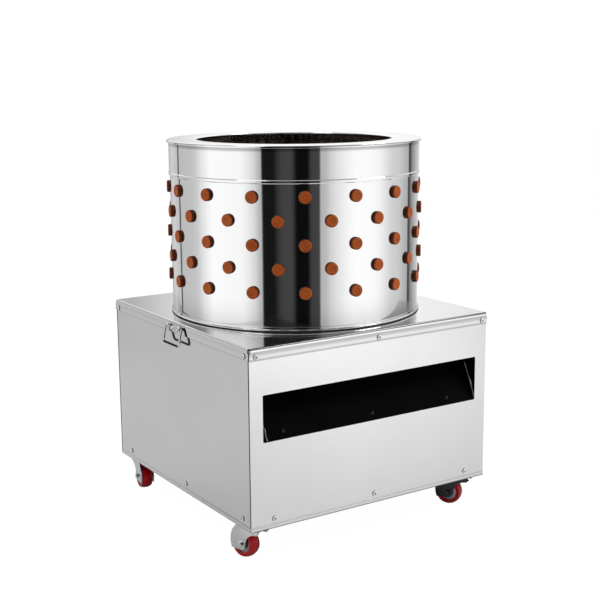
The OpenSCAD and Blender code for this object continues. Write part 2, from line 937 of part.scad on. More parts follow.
// The steel plate on the lower side rails, which carries the lower bearing and the motor
module drive_plate() color("dimgray")
    difference() {
        translate([-post_x + angle_t, -plate_front, drive_z])
            cube([2 * (post_x - angle_t), plate_front + post_y - post_leg - beam_end_gap, drive_t]);
        translate([0, 0, drive_z - 1])
            cylinder(r = spindle_r + plate_hole_play, h = drive_t + 2);
        translate([0, shaft_gap, drive_z - 1])
            cylinder(r = motor_hole_r, h = drive_t + 2);
        at_bearing_bolts(drive_z - 1)
            cylinder(r = bearing_bolt_r + bolt_play, h = drive_t + 2);
        at_motor_bolts(drive_z - 1)
            cylinder(r = motor_bolt_r + bolt_play, h = drive_t + 2);
    }

// Finned motor body on its flange, shaft down
module motor_body() color("steelblue")
    difference() {
        translate([0, shaft_gap, 0])
            union() {
                translate([0, 0, drive_top])
                    cylinder(r = motor_flange_r, h = motor_flange_t);
                translate([0, 0, drive_top + motor_flange_t / 2])
                    cylinder(r = motor_r - fin_h, h = motor_flange_t / 2 + motor_l);
                for (i = [0 : motor_fins - 1])
                    rotate([0, 0, i * 360 / motor_fins])
                        translate([motor_r - 2 * fin_h, -fin_t / 2, motor_z + fin_end])
                            cube([2 * fin_h, fin_t, motor_l - 2 * fin_end]);
                translate([0, 0, motor_z + motor_l - end_shield_t])
                    cylinder(r = cowl_r, h = end_shield_t);
            }
        translate([0, shaft_gap, drive_top - 1])
            cylinder(r = motor_shaft_r + shaft_fit, h = motor_l + 30);
        at_motor_bolts(drive_top - 1)
            cylinder(r = motor_bolt_r + bolt_play, h = motor_flange_t + 2);
    }

// Fan cowl over the motor's top end, open in rings for the air
module motor_cowl() color("slategray")
    translate([0, shaft_gap, motor_z + motor_l])
        difference() {
            cylinder(r = cowl_r, h = cowl_h);
            translate([0, 0, -1])
                cylinder(r = cowl_r - sheet_t, h = cowl_h + 1 - sheet_t);
            for (r = [fan_hub_r : cowl_hole_pitch : cowl_r - cowl_hole_pitch], a = [0 : 60 : 300])
                rotate([0, 0, a + r * 3])
                    translate([r, 0, cowl_h - sheet_t - 1])
                        cylinder(r = cowl_hole_r, h = sheet_t + 2, $fn = 24);
        }

module motor_fan() color("gray")
    translate([0, shaft_gap, motor_z + motor_l + fan_lift])
        difference() {
            union() {
                cylinder(r = fan_hub_r, h = fan_h);
                cylinder(r = fan_r, h = fan_disc_t);
                for (i = [0 : fan_blades - 1])
                    rotate([0, 0, i * 360 / fan_blades])
                        translate([fan_hub_r - fan_blade_t, -fan_blade_t / 2, fan_disc_t / 2])
                            cube([fan_r - fan_hub_r, fan_blade_t, fan_h - fan_disc_t / 2]);
            }
            translate([0, 0, -1])
                cylinder(r = motor_shaft_r, h = fan_h + 2);
        }

module motor_terminal_box() color("steelblue")
    translate([motor_r - fin_h, shaft_gap - terminal_w / 2, motor_z + terminal_up])
        difference() {
            translate([-terminal_root, 0, 0])
                cube([terminal_root + terminal_out, terminal_w, terminal_h]);
            translate([-terminal_root - 1, terminal_w / 2, terminal_h / 2])
                rotate([0, 90, 0])
                    cylinder(r = terminal_hole_r, h = terminal_root + terminal_out * 0.6);
            translate([fin_h - motor_r, terminal_w / 2, -1])
                cylinder(r = motor_r + terminal_fit, h = terminal_h + 2);
        }

module motor_bolts() color("silver")
    at_motor_bolts(drive_top + motor_flange_t)
        hex_bolt(motor_bolt_r, motor_flange_t + drive_t);

// Half-section of a V-belt of radial height h, its back at radius r
module belt_section(r, w, h, slant) {
    polygon([[r - h, -w / 2 + slant * 2], [r, -w / 2], [r, w / 2], [r - h, w / 2 - slant * 2]]);
}

// V-belt: two arcs round the pulleys and two straight runs between them
module v_belt() color("#181818") {
    lean = asin((big_pulley_r - small_pulley_r) / shaft_gap);
    run = shaft_gap * cos(lean);
    back = belt_h / 2;
    translate([0, 0, belt_z])
        rotate([0, 0, 180 - lean])
            rotate_extrude(angle = 180 + 2 * lean, $fn = 120)
                belt_section(big_pulley_r + back, belt_w, belt_h, belt_slant);
    translate([0, shaft_gap, belt_z])
        rotate([0, 0, lean])
            rotate_extrude(angle = 180 - 2 * lean, $fn = 96)
                belt_section(small_pulley_r + back, belt_w, belt_h, belt_slant);
    for (m = [0, 1])
        mirror([m, 0, 0])
            translate([0, 0, belt_z])
                rotate([0, 0, lean])
                    rotate([-90, 0, 0])
                        linear_extrude(height = run)
                            belt_section(big_pulley_r + back, belt_w, belt_h, belt_slant);
}

// A pulley with one V-groove that clears the belt all round
module grooved_pulley(r, bore) {
    back = r + belt_h / 2 + 1.5;
    floor_r = r - belt_h / 2 - groove_play;
    half_w = belt_w / 2 + groove_play + 0.4;
    half_n = belt_w / 2 - 2 * belt_slant + groove_play;
    rotate_extrude($fn = 120)
        polygon([
            [bore, -pulley_h / 2], [back, -pulley_h / 2], [back, -half_w],
            [floor_r, -half_n], [floor_r, half_n], [back, half_w],
            [back, pulley_h / 2], [bore, pulley_h / 2]
        ]);
}

module drive_pulley() color("gray")
    translate([0, 0, belt_z])
        difference() {
            union() {
                grooved_pulley(big_pulley_r, pulley_web_r);
                difference() {
                    cylinder(r = pulley_web_r + 0.5, h = pulley_web_t, center = true);
                    for (i = [0 : pulley_holes - 1])
                        rotate([0, 0, i * 360 / pulley_holes])
                            translate([(pulley_web_r + pulley_hub_r) / 2, 0, 0])
                                cylinder(r = pulley_hole_r, h = 2 * pulley_web_t, center = true);
                }
                cylinder(r = pulley_hub_r, h = pulley_hub_h, center = true);
            }
            cylinder(r = spindle_r, h = 2 * pulley_hub_h, center = true);
        }

module motor_pulley() color("gray")
    translate([0, shaft_gap, belt_z])
        grooved_pulley(small_pulley_r, motor_shaft_r);

module motor_shaft() color("silver")
    translate([0, shaft_gap, belt_z - pulley_h / 2 - shaft_end])
        cylinder(r = motor_shaft_r, h = motor_z + motor_l + fan_lift + fan_h - belt_z + pulley_h / 2);

// Spindle: turned bar, stepped down for its nut above the finger plate
module spindle() color("silver") {
    translate([0, 0, spindle_low])
        cylinder(r = spindle_r, h = plate_z + plate_t - spindle_low);
    translate([0, 0, plate_z + plate_t - 0.01])
        cylinder(r = spindle_r - spindle_step, h = thread_l);
}

module spindle_nut() color("silver")
    translate([0, 0, plate_z + plate_t])
        difference() {
            union() {
                cylinder(r = hub_r, h = washer_t);
                translate([0, 0, washer_t - 0.1])
                    cylinder(r = nut_r, h = nut_h, $fn = 6);
                translate([0, 0, washer_t + nut_h - 0.2])
                    cylinder(r1 = nut_dome_r, r2 = nut_dome_r / 2, h = nut_dome_h);
            }
            translate([0, 0, -1])
                cylinder(r = spindle_r - spindle_step, h = thread_l + 1.2);
        }

module at_plate_fingers() {
    for (k = [1 : plate_rings], i = [0 : ring_base_count * k - 1])
        rotate([0, 0, i * 360 / (ring_base_count * k) + k * ring_turn])
            translate([ring_first_r + (k - 1) * ring_pitch, 0, plate_z])
                children();
}

// Finger plate: flat disc with a turned-down rim, on a bored hub
module finger_plate() color("lightgray")
    difference() {
        union() {
            rotate_extrude($fn = 180)
                polygon([
                    [spindle_r, plate_z], [plate_r - 2.5, plate_z], [plate_r - 2.5, plate_z - plate_rim_h],
                    [plate_r, plate_z - plate_rim_h], [plate_r, plate_z + plate_t - 2.5],
                    [plate_r - 2.5, plate_z + plate_t], [spindle_r, plate_z + plate_t]
                ]);
            translate([0, 0, plate_z - hub_flange_t])
                cylinder(r = hub_flange_r, h = hub_flange_t + 0.1);
            translate([0, 0, plate_z - hub_drop])
                cylinder(r = hub_r, h = hub_drop);
        }
        translate([0, 0, plate_z - 40])
            cylinder(r = spindle_r, h = 80);
        at_plate_fingers()
            cylinder(r = finger_hole_r, h = 20, center = true);
    }

module plate_fingers() color("chocolate")
    at_plate_fingers()
        finger(plate_t, 0, 0, finger_l + plate_t - sheet_t);

// Paddles under the plate's rim, which sweep the feathers round to the outlet
module feather_paddles() color("lightgray")
    for (a = [0, 180])
        rotate([0, 0, paddle_turn + a])
            translate([plate_r - paddle_w - paddle_edge, -paddle_t / 2, plate_z - paddle_h]) {
                cube([paddle_w, paddle_t, paddle_h]);
                translate([0, -paddle_foot / 2, paddle_h - paddle_t])
                    cube([paddle_w, paddle_foot + paddle_t, paddle_t]);
            }

// Right-hand side handle: a wire loop whose ends turn in through the bracket's eyes
module handle(side) {
    r = handle_wire_d / 2;
    leg_y = handle_w / 2;
    mirror([side < 0 ? 1 : 0, 0, 0])
        translate([eye_x, 0, eye_z])
            rotate([0, -handle_lean, 0]) {
                for (m = [0, 1])
                    mirror([0, m, 0]) {
                        translate([0, leg_y, -handle_drop + handle_corner])
                            cylinder(r = r, h = handle_drop - handle_corner - handle_elbow, $fn = 48);
                        translate([0, leg_y - handle_elbow, -handle_elbow])
                            rotate([90, 0, 90])
                                rotate_extrude(angle = 90, $fn = 48)
                                    translate([handle_elbow, 0])
                                        circle(r = r, $fn = 48);
                        translate([0, leg_y - handle_elbow - eye_l - handle_end, 0])
                            rotate([-90, 0, 0])
                                cylinder(r = r, h = eye_l + handle_end, $fn = 48);
                        translate([0, leg_y - handle_corner, -handle_drop + handle_corner])
                            rotate([90, 90, 90])
                                mirror([0, 1, 0])
                                    rotate([0, 0, -90])
                                        rotate_extrude(angle = 90, $fn = 48)
                                            translate([handle_corner, 0])
                                                circle(r = r, $fn = 48);
                    }
                translate([0, -leg_y + handle_corner, -handle_drop])
                    rotate([-90, 0, 0])
                        cylinder(r = r, h = handle_w - 2 * handle_corner, $fn = 48);
            }
}

module handle_left() color("lightgray")
    handle(-1);

module handle_right() color("lightgray")
    handle(1);

// Brackets: a plate riveted to the lid's side, its ends curled into eyes for the wire
module handle_brackets() color("lightgray")
    for (side = [-1, 1])
        mirror([side < 0 ? 1 : 0, 0, 0])
            translate([lid_w / 2, 0, 0])
                difference() {
                    union() {
                        translate([0, -handle_w / 2 + bracket_side, eye_z - bracket_h / 2 - eye_wall])
                            cube([eye_wall, handle_w - 2 * bracket_side, bracket_h]);
                        for (m = [0, 1])
                            mirror([0, m, 0])
                                translate([eye_r, handle_w / 2 - handle_elbow - 0.8 - eye_l, eye_z])
                                    rotate([-90, 0, 0])
                                        cylinder(r = eye_r, h = eye_l, $fn = 48);
                    }
                    translate([eye_r, -handle_w, eye_z])
                        rotate([-90, 0, 0])
                            cylinder(r = handle_wire_d / 2 + shaft_fit, h = 2 * handle_w, $fn = 48);
                    translate([-lid_w / 2, 0, 0])
                        at_bracket_rivets()
                            cylinder(r = screw_hole_r, h = 12, center = true);
                }

// Switch box: moulded case on the right panel, with bushes round its buttons
module switch_box() color("#303438")
    translate([panel_w / 2, switch_y, switch_z])
        difference() {
            union() {
                rotate([90, 0, 90])
                    linear_extrude(height = switch_d)
                        rounded(switch_w, switch_h, switch_corner);
                for (z = [-1, 1])
                    translate([switch_d - 0.01, 0, z * button_spread / 2])
                        rotate([0, 90, 0])
                            cylinder(r = button_bush_r, h = button_bush_h);
            }
            translate([-1, 0, 0])
                rotate([90, 0, 90])
                    linear_extrude(height = switch_d + 1 - switch_wall)
                        rounded(
                            switch_w - 2 * switch_wall, switch_h - 2 * switch_wall,
                            switch_corner - switch_wall
                        );
            for (z = [-1, 1])
                translate([switch_d - 10, 0, z * button_spread / 2])
                    rotate([0, 90, 0])
                        cylinder(r = button_d / 2 + button_play, h = 20);
            translate([switch_d / 2, 0, -switch_h / 2 - 1])
                cylinder(r = gland_r + button_play, h = 2 * switch_wall + 2);
        }

// A rounded rectangle about the origin
module rounded(w, h, r) {
    translate([-w / 2 + r, -h / 2])
        square([w - 2 * r, h]);
    translate([-w / 2, -h / 2 + r])
        square([w, h - 2 * r]);
    for (x = [-w / 2 + r, w / 2 - r], y = [-h / 2 + r, h / 2 - r])
        translate([x, y])
            circle(r = r, $fn = 48);
}

// Push button: a cap in its bush, with a collar that keeps it in the case
module push_button(z) {
    translate([panel_w / 2 + switch_d, switch_y, switch_z + z])
        rotate([0, 90, 0]) {
            translate([0, 0, -switch_wall - 6])
                cylinder(r = button_d / 2, h = switch_wall + 6 + button_bush_h + button_proud);
            translate([0, 0, -switch_wall - button_travel - button_collar])
                cylinder(r = button_d / 2 - button_collar, h = button_travel);
        }
}

module start_button() color("forestgreen")
    push_button(button_spread / 2);

module stop_button() color("firebrick")
    push_button(-button_spread / 2);

// Cable gland under the switch box
module cable_gland() color("#202020")
    translate([panel_w / 2 + switch_d / 2, switch_y, switch_z - switch_h / 2])
        difference() {
            union() {
                translate([0, 0, -gland_nut_h])
                    cylinder(r = gland_nut_r, h = gland_nut_h, $fn = 6);
                translate([0, 0, -1])
                    cylinder(r = gland_r, h = switch_wall + 3);
                translate([0, 0, -gland_nut_h - gland_tail_h])
                    cylinder(r1 = gland_r - 1, r2 = gland_r + 2, h = gland_tail_h + 0.1);
            }
            translate([0, 0, -gland_nut_h - gland_tail_h - 1])
                cylinder(r = gland_bore_r, h = gland_nut_h + gland_tail_h + switch_wall + 8);
        }

// Casters. Local frame: swivel axis on Z, wheel trailing to +X.
module at_caster(i) {
    translate([caster_sides[i][0] * caster_x, caster_sides[i][1] * caster_y, 0])
        rotate([0, 0, caster_trails[i]])
            children();
}

module caster_bolt_holes(z, h) {
    for (x = [-1, 1], y = [-1, 1])
        translate([x * caster_hole_at, y * caster_hole_at, z])
            cylinder(r = caster_bolt_r + bolt_play, h = h, $fn = 32);
}

module caster_plates() color("silver")
    for (c = caster_sides)
        translate([c[0] * caster_x, c[1] * caster_y, 0]) {
            difference() {
                translate([0, 0, caster_h - caster_plate_t])
                    linear_extrude(height = caster_plate_t)
                        rounded(caster_plate, caster_plate, 5);
                caster_bolt_holes(caster_h - caster_plate_t - 1, caster_plate_t + 2);
            }
            translate([0, 0, caster_h - caster_plate_t - raceway_h])
                cylinder(r1 = raceway_r - 3, r2 = raceway_r, h = raceway_h + 0.01);
            translate([0, 0, crown_top - crown_t - 5])
                cylinder(r = kingpin_r, h = crown_t + raceway_h + 5);
            translate([0, 0, crown_top - crown_t - 5])
                cylinder(r = kingpin_r + 3, h = 5 - air);
        }

module caster_bolts() color("silver")
    for (c = caster_sides)
        translate([c[0] * caster_x, c[1] * caster_y, 0])
            for (x = [-1, 1], y = [-1, 1])
                translate([x * caster_hole_at, y * caster_hole_at, caster_h + angle_t])
                    hex_bolt(caster_bolt_r, angle_t + caster_plate_t);

// One leg of the fork, in the plane of the wheel: bulging in front, hollow behind
module fork_leg_outline() {
    foot_z = wheel_r - leg_boss_r;
    difference() {
        union() {
            intersection() {
                polygon([
                    [-crown_back, crown_top], [-crown_back, crown_top - leg_back_h],
                    [leg_back_at[0], leg_back_at[1] + leg_back_r - 0.5],
                    [caster_trail - leg_boss_r, wheel_r], [caster_trail, foot_z],
                    [caster_trail + leg_front, foot_z], [caster_trail + leg_front, crown_top]
                ]);
                translate(leg_front_at)
                    circle(r = leg_front_r);
            }
            translate([caster_trail, wheel_r])
                circle(r = leg_boss_r, $fn = 48);
        }
        translate(leg_back_at)
            circle(r = leg_back_r);
        translate([caster_trail, wheel_r])
            circle(r = axle_r + shaft_fit, $fn = 48);
    }
}

// Where the legs' front edge meets the crown's top
function crown_front() =
    leg_front_at[0] + sqrt(pow(leg_front_r, 2) - pow(crown_top - leg_front_at[1], 2));

module caster_fork(i) color("silver")
    at_caster(i) {
        difference() {
            union() {
                for (s = [-1, 1])
                    translate([0, s > 0 ? fork_inner + fork_t : -fork_inner, 0])
                        rotate([90, 0, 0])
                            linear_extrude(height = fork_t)
                                fork_leg_outline();
                translate([-crown_back, -fork_inner - fork_t, crown_top - crown_t])
                    cube([crown_back + crown_front(), 2 * (fork_inner + fork_t), crown_t]);
                translate([0, 0, crown_top - crown_t])
                    cylinder(r = raceway_r, h = crown_t);
            }
            translate([0, 0, crown_top - crown_t - 1])
                cylinder(r = kingpin_r + shaft_fit, h = crown_t + 2);
        }
        translate([caster_trail, 0, wheel_r])
            rotate([90, 0, 0]) {
                cylinder(r = axle_r, h = axle_l, center = true, $fn = 48);
                for (s = [-1, 1])
                    translate([0, 0, s * (fork_inner + fork_t + axle_nut_h / 2)])
                        cylinder(r = axle_nut_r, h = axle_nut_h, center = true, $fn = 6);
            }
    }

// Wheel: pressed metal hub with a dished face, and the tyre moulded round it
module caster_hub(i) color("lightgray")
    at_caster(i)
        translate([caster_trail, 0, wheel_r])
            rotate([90, 0, 0])
                rotate_extrude()
                    polygon([
                        [bore_r, -wheel_w / 2 - fork_gap + air], [7, -wheel_w / 2 - fork_gap + air],
                        [7, -wheel_w / 2 + 3], [hub_rim_r - 2, -wheel_w / 2 + 3],
                        [hub_rim_r - 1, -wheel_w / 2 + 0.6], [hub_rim_r, -wheel_w / 2 + 0.6],
                        [hub_rim_r, wheel_w / 2 - 0.6], [hub_rim_r - 1, wheel_w / 2 - 0.6],
                        [hub_rim_r - 2, wheel_w / 2 - 3], [7, wheel_w / 2 - 3],
                        [7, wheel_w / 2 + fork_gap - air], [bore_r, wheel_w / 2 + fork_gap - air]
                    ]);

module caster_tyre(i) color("firebrick")
    at_caster(i)
        translate([caster_trail, 0, wheel_r])
            rotate([90, 0, 0])
                rotate_extrude()
                    polygon([
                        [hub_rim_r, -wheel_w / 2], [wheel_r - 2.5, -wheel_w / 2],
                        [wheel_r - 0.7, -wheel_w / 2 + 1], [wheel_r, -wheel_w / 2 + 3],
                        [wheel_r, wheel_w / 2 - 3], [wheel_r - 0.7, wheel_w / 2 - 1],
                        [wheel_r - 2.5, wheel_w / 2], [hub_rim_r, wheel_w / 2]
                    ]);

base_frame();
front_panel();
left_panel();
right_panel();
back_panel();
panel_screws();
lid_tray();
lid_screws();
drum_shell();
drum_collar();
top_ring();
base_band();
foot_gasket();
drum_fingers_odd_rows();
drum_fingers_even_rows();
feather_deck();
chute_cheeks();
sheet_rivets();
drive_plate();
spindle_beam();
upper_bearing();
lower_bearing();
bearing_bolts();
motor_body();
motor_cowl();
motor_terminal_box();
motor_bolts();
v_belt();
switch_box();
cable_gland();
handle_brackets();
caster_plates();
caster_bolts();
finger_plate();
plate_fingers();
feather_paddles();
spindle();
spindle_nut();
drive_pulley();
motor_shaft();
motor_pulley();
motor_fan();
handle_left();
handle_right();
start_button();
stop_button();
for (i = [0 : 3]) {
    caster_fork(i);
    caster_hub(i);
    caster_tyre(i);
}
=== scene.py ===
import json
import math

import bmesh
import bpy
from mathutils import Matrix, Vector


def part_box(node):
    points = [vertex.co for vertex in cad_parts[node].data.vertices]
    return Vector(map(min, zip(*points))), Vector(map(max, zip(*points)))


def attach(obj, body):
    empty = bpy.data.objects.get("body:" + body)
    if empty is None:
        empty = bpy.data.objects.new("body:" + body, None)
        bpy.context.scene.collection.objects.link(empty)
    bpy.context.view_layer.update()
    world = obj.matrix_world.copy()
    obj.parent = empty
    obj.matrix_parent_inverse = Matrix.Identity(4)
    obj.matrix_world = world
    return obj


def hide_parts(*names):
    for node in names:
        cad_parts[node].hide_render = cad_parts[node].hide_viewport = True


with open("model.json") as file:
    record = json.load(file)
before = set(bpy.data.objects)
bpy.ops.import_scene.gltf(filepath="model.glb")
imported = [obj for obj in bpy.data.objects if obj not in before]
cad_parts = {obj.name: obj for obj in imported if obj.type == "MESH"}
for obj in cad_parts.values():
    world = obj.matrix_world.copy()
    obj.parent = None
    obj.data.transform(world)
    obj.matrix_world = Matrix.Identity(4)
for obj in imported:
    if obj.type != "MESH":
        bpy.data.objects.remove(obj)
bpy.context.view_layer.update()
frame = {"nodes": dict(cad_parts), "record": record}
nodes = frame["nodes"]


# Camera. It stands in front of the plucker's left corner, a little above the lid, and looks
# slightly down, with the long lens of a catalogue photograph.
scene = bpy.context.scene


def link_piece(name, data):
    """A new object in the scene, from a mesh, a lamp or a lens."""
    piece = bpy.data.objects.new(name, data)
    scene.collection.objects.link(piece)
    return piece


lens = bpy.data.cameras.new("catalogue_camera")
lens.sensor_width = 36
lens.lens = 70.106
lens.clip_end = 100
camera = link_piece("catalogue_camera", lens)
camera_place = Vector((-1.4384, -2.2242, 0.9963))
camera_heading = math.radians(33.13)
camera_dip = math.radians(11.243)
camera_roll = math.radians(-0.434)
camera.matrix_world = (
    Matrix.Translation(camera_place)
    @ Matrix.Rotation(-camera_heading, 4, "Z")
    @ Matrix.Rotation(math.pi / 2 - camera_dip, 4, "X")
    @ Matrix.Rotation(camera_roll, 4, "Z")
)
scene.camera = camera
scene.view_settings.view_transform = "Standard"


# Studio. A pale floor in a round light tent, which has a dark opening on the camera's side and
# a narrow gap at each side of its back. The polished steel mirrors it; the camera sees through.
def put(tree, kind, inputs=None, **settings):
    """A new node. Each of its inputs is a plain value or another node's output."""
    made = tree.nodes.new(kind)
    for name, value in settings.items():
        setattr(made, name, value)
    for key, value in (inputs or {}).items():
        if isinstance(value, bpy.types.NodeSocket):
            tree.links.new(value, made.inputs[key])
        else:
            made.inputs[key].default_value = value
    return made


def sum_of(tree, operation, *terms):
    """A math node's result."""
    return put(tree, "ShaderNodeMath", dict(enumerate(terms)), operation=operation).outputs[0]


def split(tree, vector):
    """A vector's X, Y and Z."""
    return put(tree, "ShaderNodeSeparateXYZ", {0: vector}).outputs


def own_place(tree):
    """A point's place in its object's own metres."""
    return put(tree, "ShaderNodeTexCoord").outputs["Object"]


def span(tree, value, low, high, first=0.0, last=1.0):
    """Turns a value between low and high into one between first and last."""
    return put(tree, "ShaderNodeMapRange", {0: value, 1: low, 2: high, 3: first, 4: last}).outputs[0]


def mixed(tree, mask, first, second):
    """The first colour where the mask is 0, and the second where it is 1."""
    return put(tree, "ShaderNodeMix", {0: mask, 6: first, 7: second}, data_type="RGBA").outputs[2]


def ramp(tree, position, stops):
    """A grey scale over a position from 0 to 1, with stops of (position, brightness)."""
    made = put(tree, "ShaderNodeValToRGB", {"Fac": position})
    scale = made.color_ramp
    while len(scale.elements) < len(stops):
        scale.elements.new(0.5)
    for element, (at, tone) in zip(scale.elements, stops):
        element.position = at
        element.color = (tone, tone, tone, 1)
    return made.outputs["Color"]


def bare_tree(owner):
    """The emptied node tree of a material or a world."""
    owner.use_nodes = True
    owner.node_tree.nodes.clear()
    return owner.node_tree


def two_looks(tree, lit, seen, output):
    """Shows the camera one shader, and gives light and reflections another."""
    rays = put(tree, "ShaderNodeLightPath").outputs["Is Camera Ray"]
    both = put(tree, "ShaderNodeMixShader", {0: rays, 1: lit, 2: seen}).outputs[0]
    tree.links.new(both, put(tree, output).inputs["Surface"])


tent_radius = 1.95
tent_height = 2.6
tent_light = 1.04
opening_angle = math.atan2(camera_place.y, camera_place.x)
left_tones = [
    (0, 0.03), (3, 0.056), (10, 0.052), (13, 0.036), (17, 0.008), (26.6, 0.008), (27.2, 0.43),
    (30, 0.52), (33, 0.68), (38, 0.82), (45, 0.95), (75, 1.0), (81, 0.88), (86, 0.78),
    (93, 0.60), (100, 0.54), (118, 0.51), (120.6, 0.50), (121.4, 0.04), (123.2, 0.04), (124, 0.54),
    (133, 0.58), (140, 0.64), (150, 0.52), (161, 0.45), (172, 0.95), (180, 1.0),
]
right_tones = [
    (0, 0.02), (2, 0.004), (11, 0.004), (14, 0.048), (20.8, 0.055), (21.5, 0.46), (26, 0.50),
    (30, 0.65), (36, 0.78), (45, 0.93), (52, 1.0), (66, 1.0), (76, 0.94), (84, 0.80), (92, 0.66),
    (103, 0.60), (114, 0.46), (118.8, 0.44), (120, 0.07), (123.4, 0.07), (127, 0.24), (139, 0.48),
    (150, 0.60), (162, 0.84), (172, 0.98), (180, 1.0),
]
upper_left = [
    (0, 0.02), (26.6, 0.01), (27.4, 0.45), (45, 0.80), (74, 0.85), (86, 0.30), (97, 0.18), (122, 0.20),
    (138, 0.62), (150, 0.52), (161, 0.45), (172, 0.95), (180, 1.0),
]
upper_right = [
    (0, 0.01), (18, 0.03), (23, 0.13), (70, 0.15), (84, 0.24), (124, 0.28), (142, 0.56), (162, 0.84),
    (172, 0.98), (180, 1.0),
]
top_tones = [(0, 0.01), (18, 0.06), (27, 0.24), (70, 0.40), (104, 0.52), (124, 1.0), (180, 1.0)]
upper_start = 0.74
upper_full = 0.84
top_start = 1.02
top_full = 1.16


def formed_piece(name, form):
    """A piece from a finished form."""
    mesh = bpy.data.meshes.new(name)
    form.to_mesh(mesh)
    form.free()
    return link_piece(name, mesh)


def plain_piece(name, points, faces):
    """A piece from points in metres and its faces."""
    mesh = bpy.data.meshes.new(name)
    mesh.from_pydata(points, [], faces)
    return link_piece(name, mesh)


tent_form = bmesh.new()
bmesh.ops.create_cone(
    tent_form, segments=128, radius1=tent_radius, radius2=tent_radius, depth=tent_height,
    matrix=Matrix.Translation((0, 0, tent_height / 2 + 0.001)),
)
tent = formed_piece("tent", tent_form)
tent.visible_camera = False
tent.visible_shadow = False
tent_cloth = bpy.data.materials.new("tent_cloth")
tree = bare_tree(tent_cloth)
turned = put(tree, "ShaderNodeVectorRotate", {"Vector": own_place(tree), "Angle": -opening_angle},
             rotation_type="Z_AXIS").outputs[0]
parts = split(tree, turned)
bearing = sum_of(tree, "ARCTAN2", parts["Y"], parts["X"])
share = sum_of(tree, "MULTIPLY", sum_of(tree, "ABSOLUTE", bearing), 1 / math.pi)
side = sum_of(tree, "GREATER_THAN", bearing, 0.0)
low_left, low_right, high_left, high_right, top_wall = [
    ramp(tree, share, [(a / 180, tone) for a, tone in tones])
    for tones in (left_tones, right_tones, upper_left, upper_right, top_tones)]
wall = mixed(tree, span(tree, parts["Z"], upper_start, upper_full),
             mixed(tree, side, low_left, low_right), mixed(tree, side, high_left, high_right))
wall = mixed(tree, span(tree, parts["Z"], top_start, top_full), wall, top_wall)
glow = put(tree, "ShaderNodeEmission", {"Color": wall, "Strength": tent_light}).outputs[0]
tree.links.new(glow, put(tree, "ShaderNodeOutputMaterial").inputs["Surface"])
tent.data.materials.append(tent_cloth)

floor_half = 14
floor = plain_piece("floor", [
    (-floor_half, -floor_half, 0), (floor_half, -floor_half, 0),
    (floor_half, floor_half, 0), (-floor_half, floor_half, 0)], [(0, 1, 2, 3)])
floor_paint = bpy.data.materials.new("floor_paint")
tree = bare_tree(floor_paint)
paper = put(tree, "ShaderNodeBsdfDiffuse", {"Color": (0.86, 0.86, 0.86, 1)}).outputs[0]
bright = put(tree, "ShaderNodeEmission", {"Color": (1, 1, 1, 1), "Strength": 1.05}).outputs[0]
seen = put(tree, "ShaderNodeMixShader", {0: 0.06, 1: bright, 2: paper}).outputs[0]
two_looks(tree, paper, seen, "ShaderNodeOutputMaterial")
floor.data.materials.append(floor_paint)

sky = bpy.data.worlds.new("studio_air")
tree = bare_tree(sky)
above = put(tree, "ShaderNodeBackground", {"Color": (0.42, 0.42, 0.42, 1)}).outputs[0]
white = put(tree, "ShaderNodeBackground", {"Color": (1.02, 1.02, 1.02, 1)}).outputs[0]
two_looks(tree, above, white, "ShaderNodeOutputWorld")
scene.world = sky


def softbox(name, place, target, width, height, power):
    """A soft rectangular lamp that the camera doesn't see."""
    lamp = bpy.data.lights.new(name, "AREA")
    lamp.shape = "RECTANGLE"
    lamp.size = width
    lamp.size_y = height
    lamp.energy = power
    holder = link_piece(name, lamp)
    holder.visible_camera = False
    aim = Vector(target) - Vector(place)
    holder.matrix_world = Matrix.Translation(place) @ aim.to_track_quat("-Z", "Y").to_matrix().to_4x4()


softbox("right_softbox", (1.5, -1.3, 1.9), (0, 0, 0.3), 1.1, 1.1, 26)
softbox("left_softbox", (-1.7, -0.5, 1.9), (0, 0, 0.4), 0.9, 0.9, 9)


# Steel frame. Welded angle rings, corner posts and rails in dark grey enamel, which carry the
# panels, the drive and the casters. Every other CAD piece gets its softened edges this way too.
MM = 0.001
NUMBER = "NodeSocketFloat"
ARROW = "NodeSocketVector"


def bake_modifiers(piece):
    """Turns what the modifiers make into the piece's own plain mesh."""
    graph = bpy.context.evaluated_depsgraph_get()
    baked = bpy.data.meshes.new_from_object(
        piece.evaluated_get(graph), preserve_all_data_layers=True, depsgraph=graph)
    piece.modifiers.clear()
    piece.data = baked


def shade(piece, sharp_deg):
    """Smooth shading that stays crisp at the edges that are sharper than an angle."""
    piece.data.shade_smooth()
    piece.data.set_sharp_from_angle(angle=math.radians(sharp_deg))


def fit(piece, finish, body, slot, *replaced):
    """Gives a piece its finish and its body, and hides the CAD nodes that it stands for. Its slot is not
    used.
    """
    piece.data.materials.clear()
    piece.data.materials.append(finish)
    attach(piece, body)
    if replaced:
        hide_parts(*replaced)


def eased_copy(node, name, width, finish, body, slot, steps=2):
    """A CAD node's shape with its triangles merged, its hard edges rounded, its flat faces flat."""
    form = bmesh.new()
    form.from_mesh(nodes[node].data)
    bmesh.ops.remove_doubles(form, verts=form.verts, dist=2e-6)
    bmesh.ops.dissolve_limit(
        form, angle_limit=math.radians(0.4), verts=form.verts, edges=form.edges)
    form.verts.index_update()
    piece = plain_piece(
        name, [v.co[:] for v in form.verts], [[v.index for v in f.verts] for f in form.faces])
    form.free()
    hard_deg = 32
    shade(piece, hard_deg)
    bevel = piece.modifiers.new("eased", "BEVEL")
    bevel.width = width
    bevel.segments = steps
    bevel.limit_method = "ANGLE"
    bevel.angle_limit = math.radians(hard_deg)
    bevel.harden_normals = True
    bake_modifiers(piece)
    fit(piece, finish, body, slot, node)


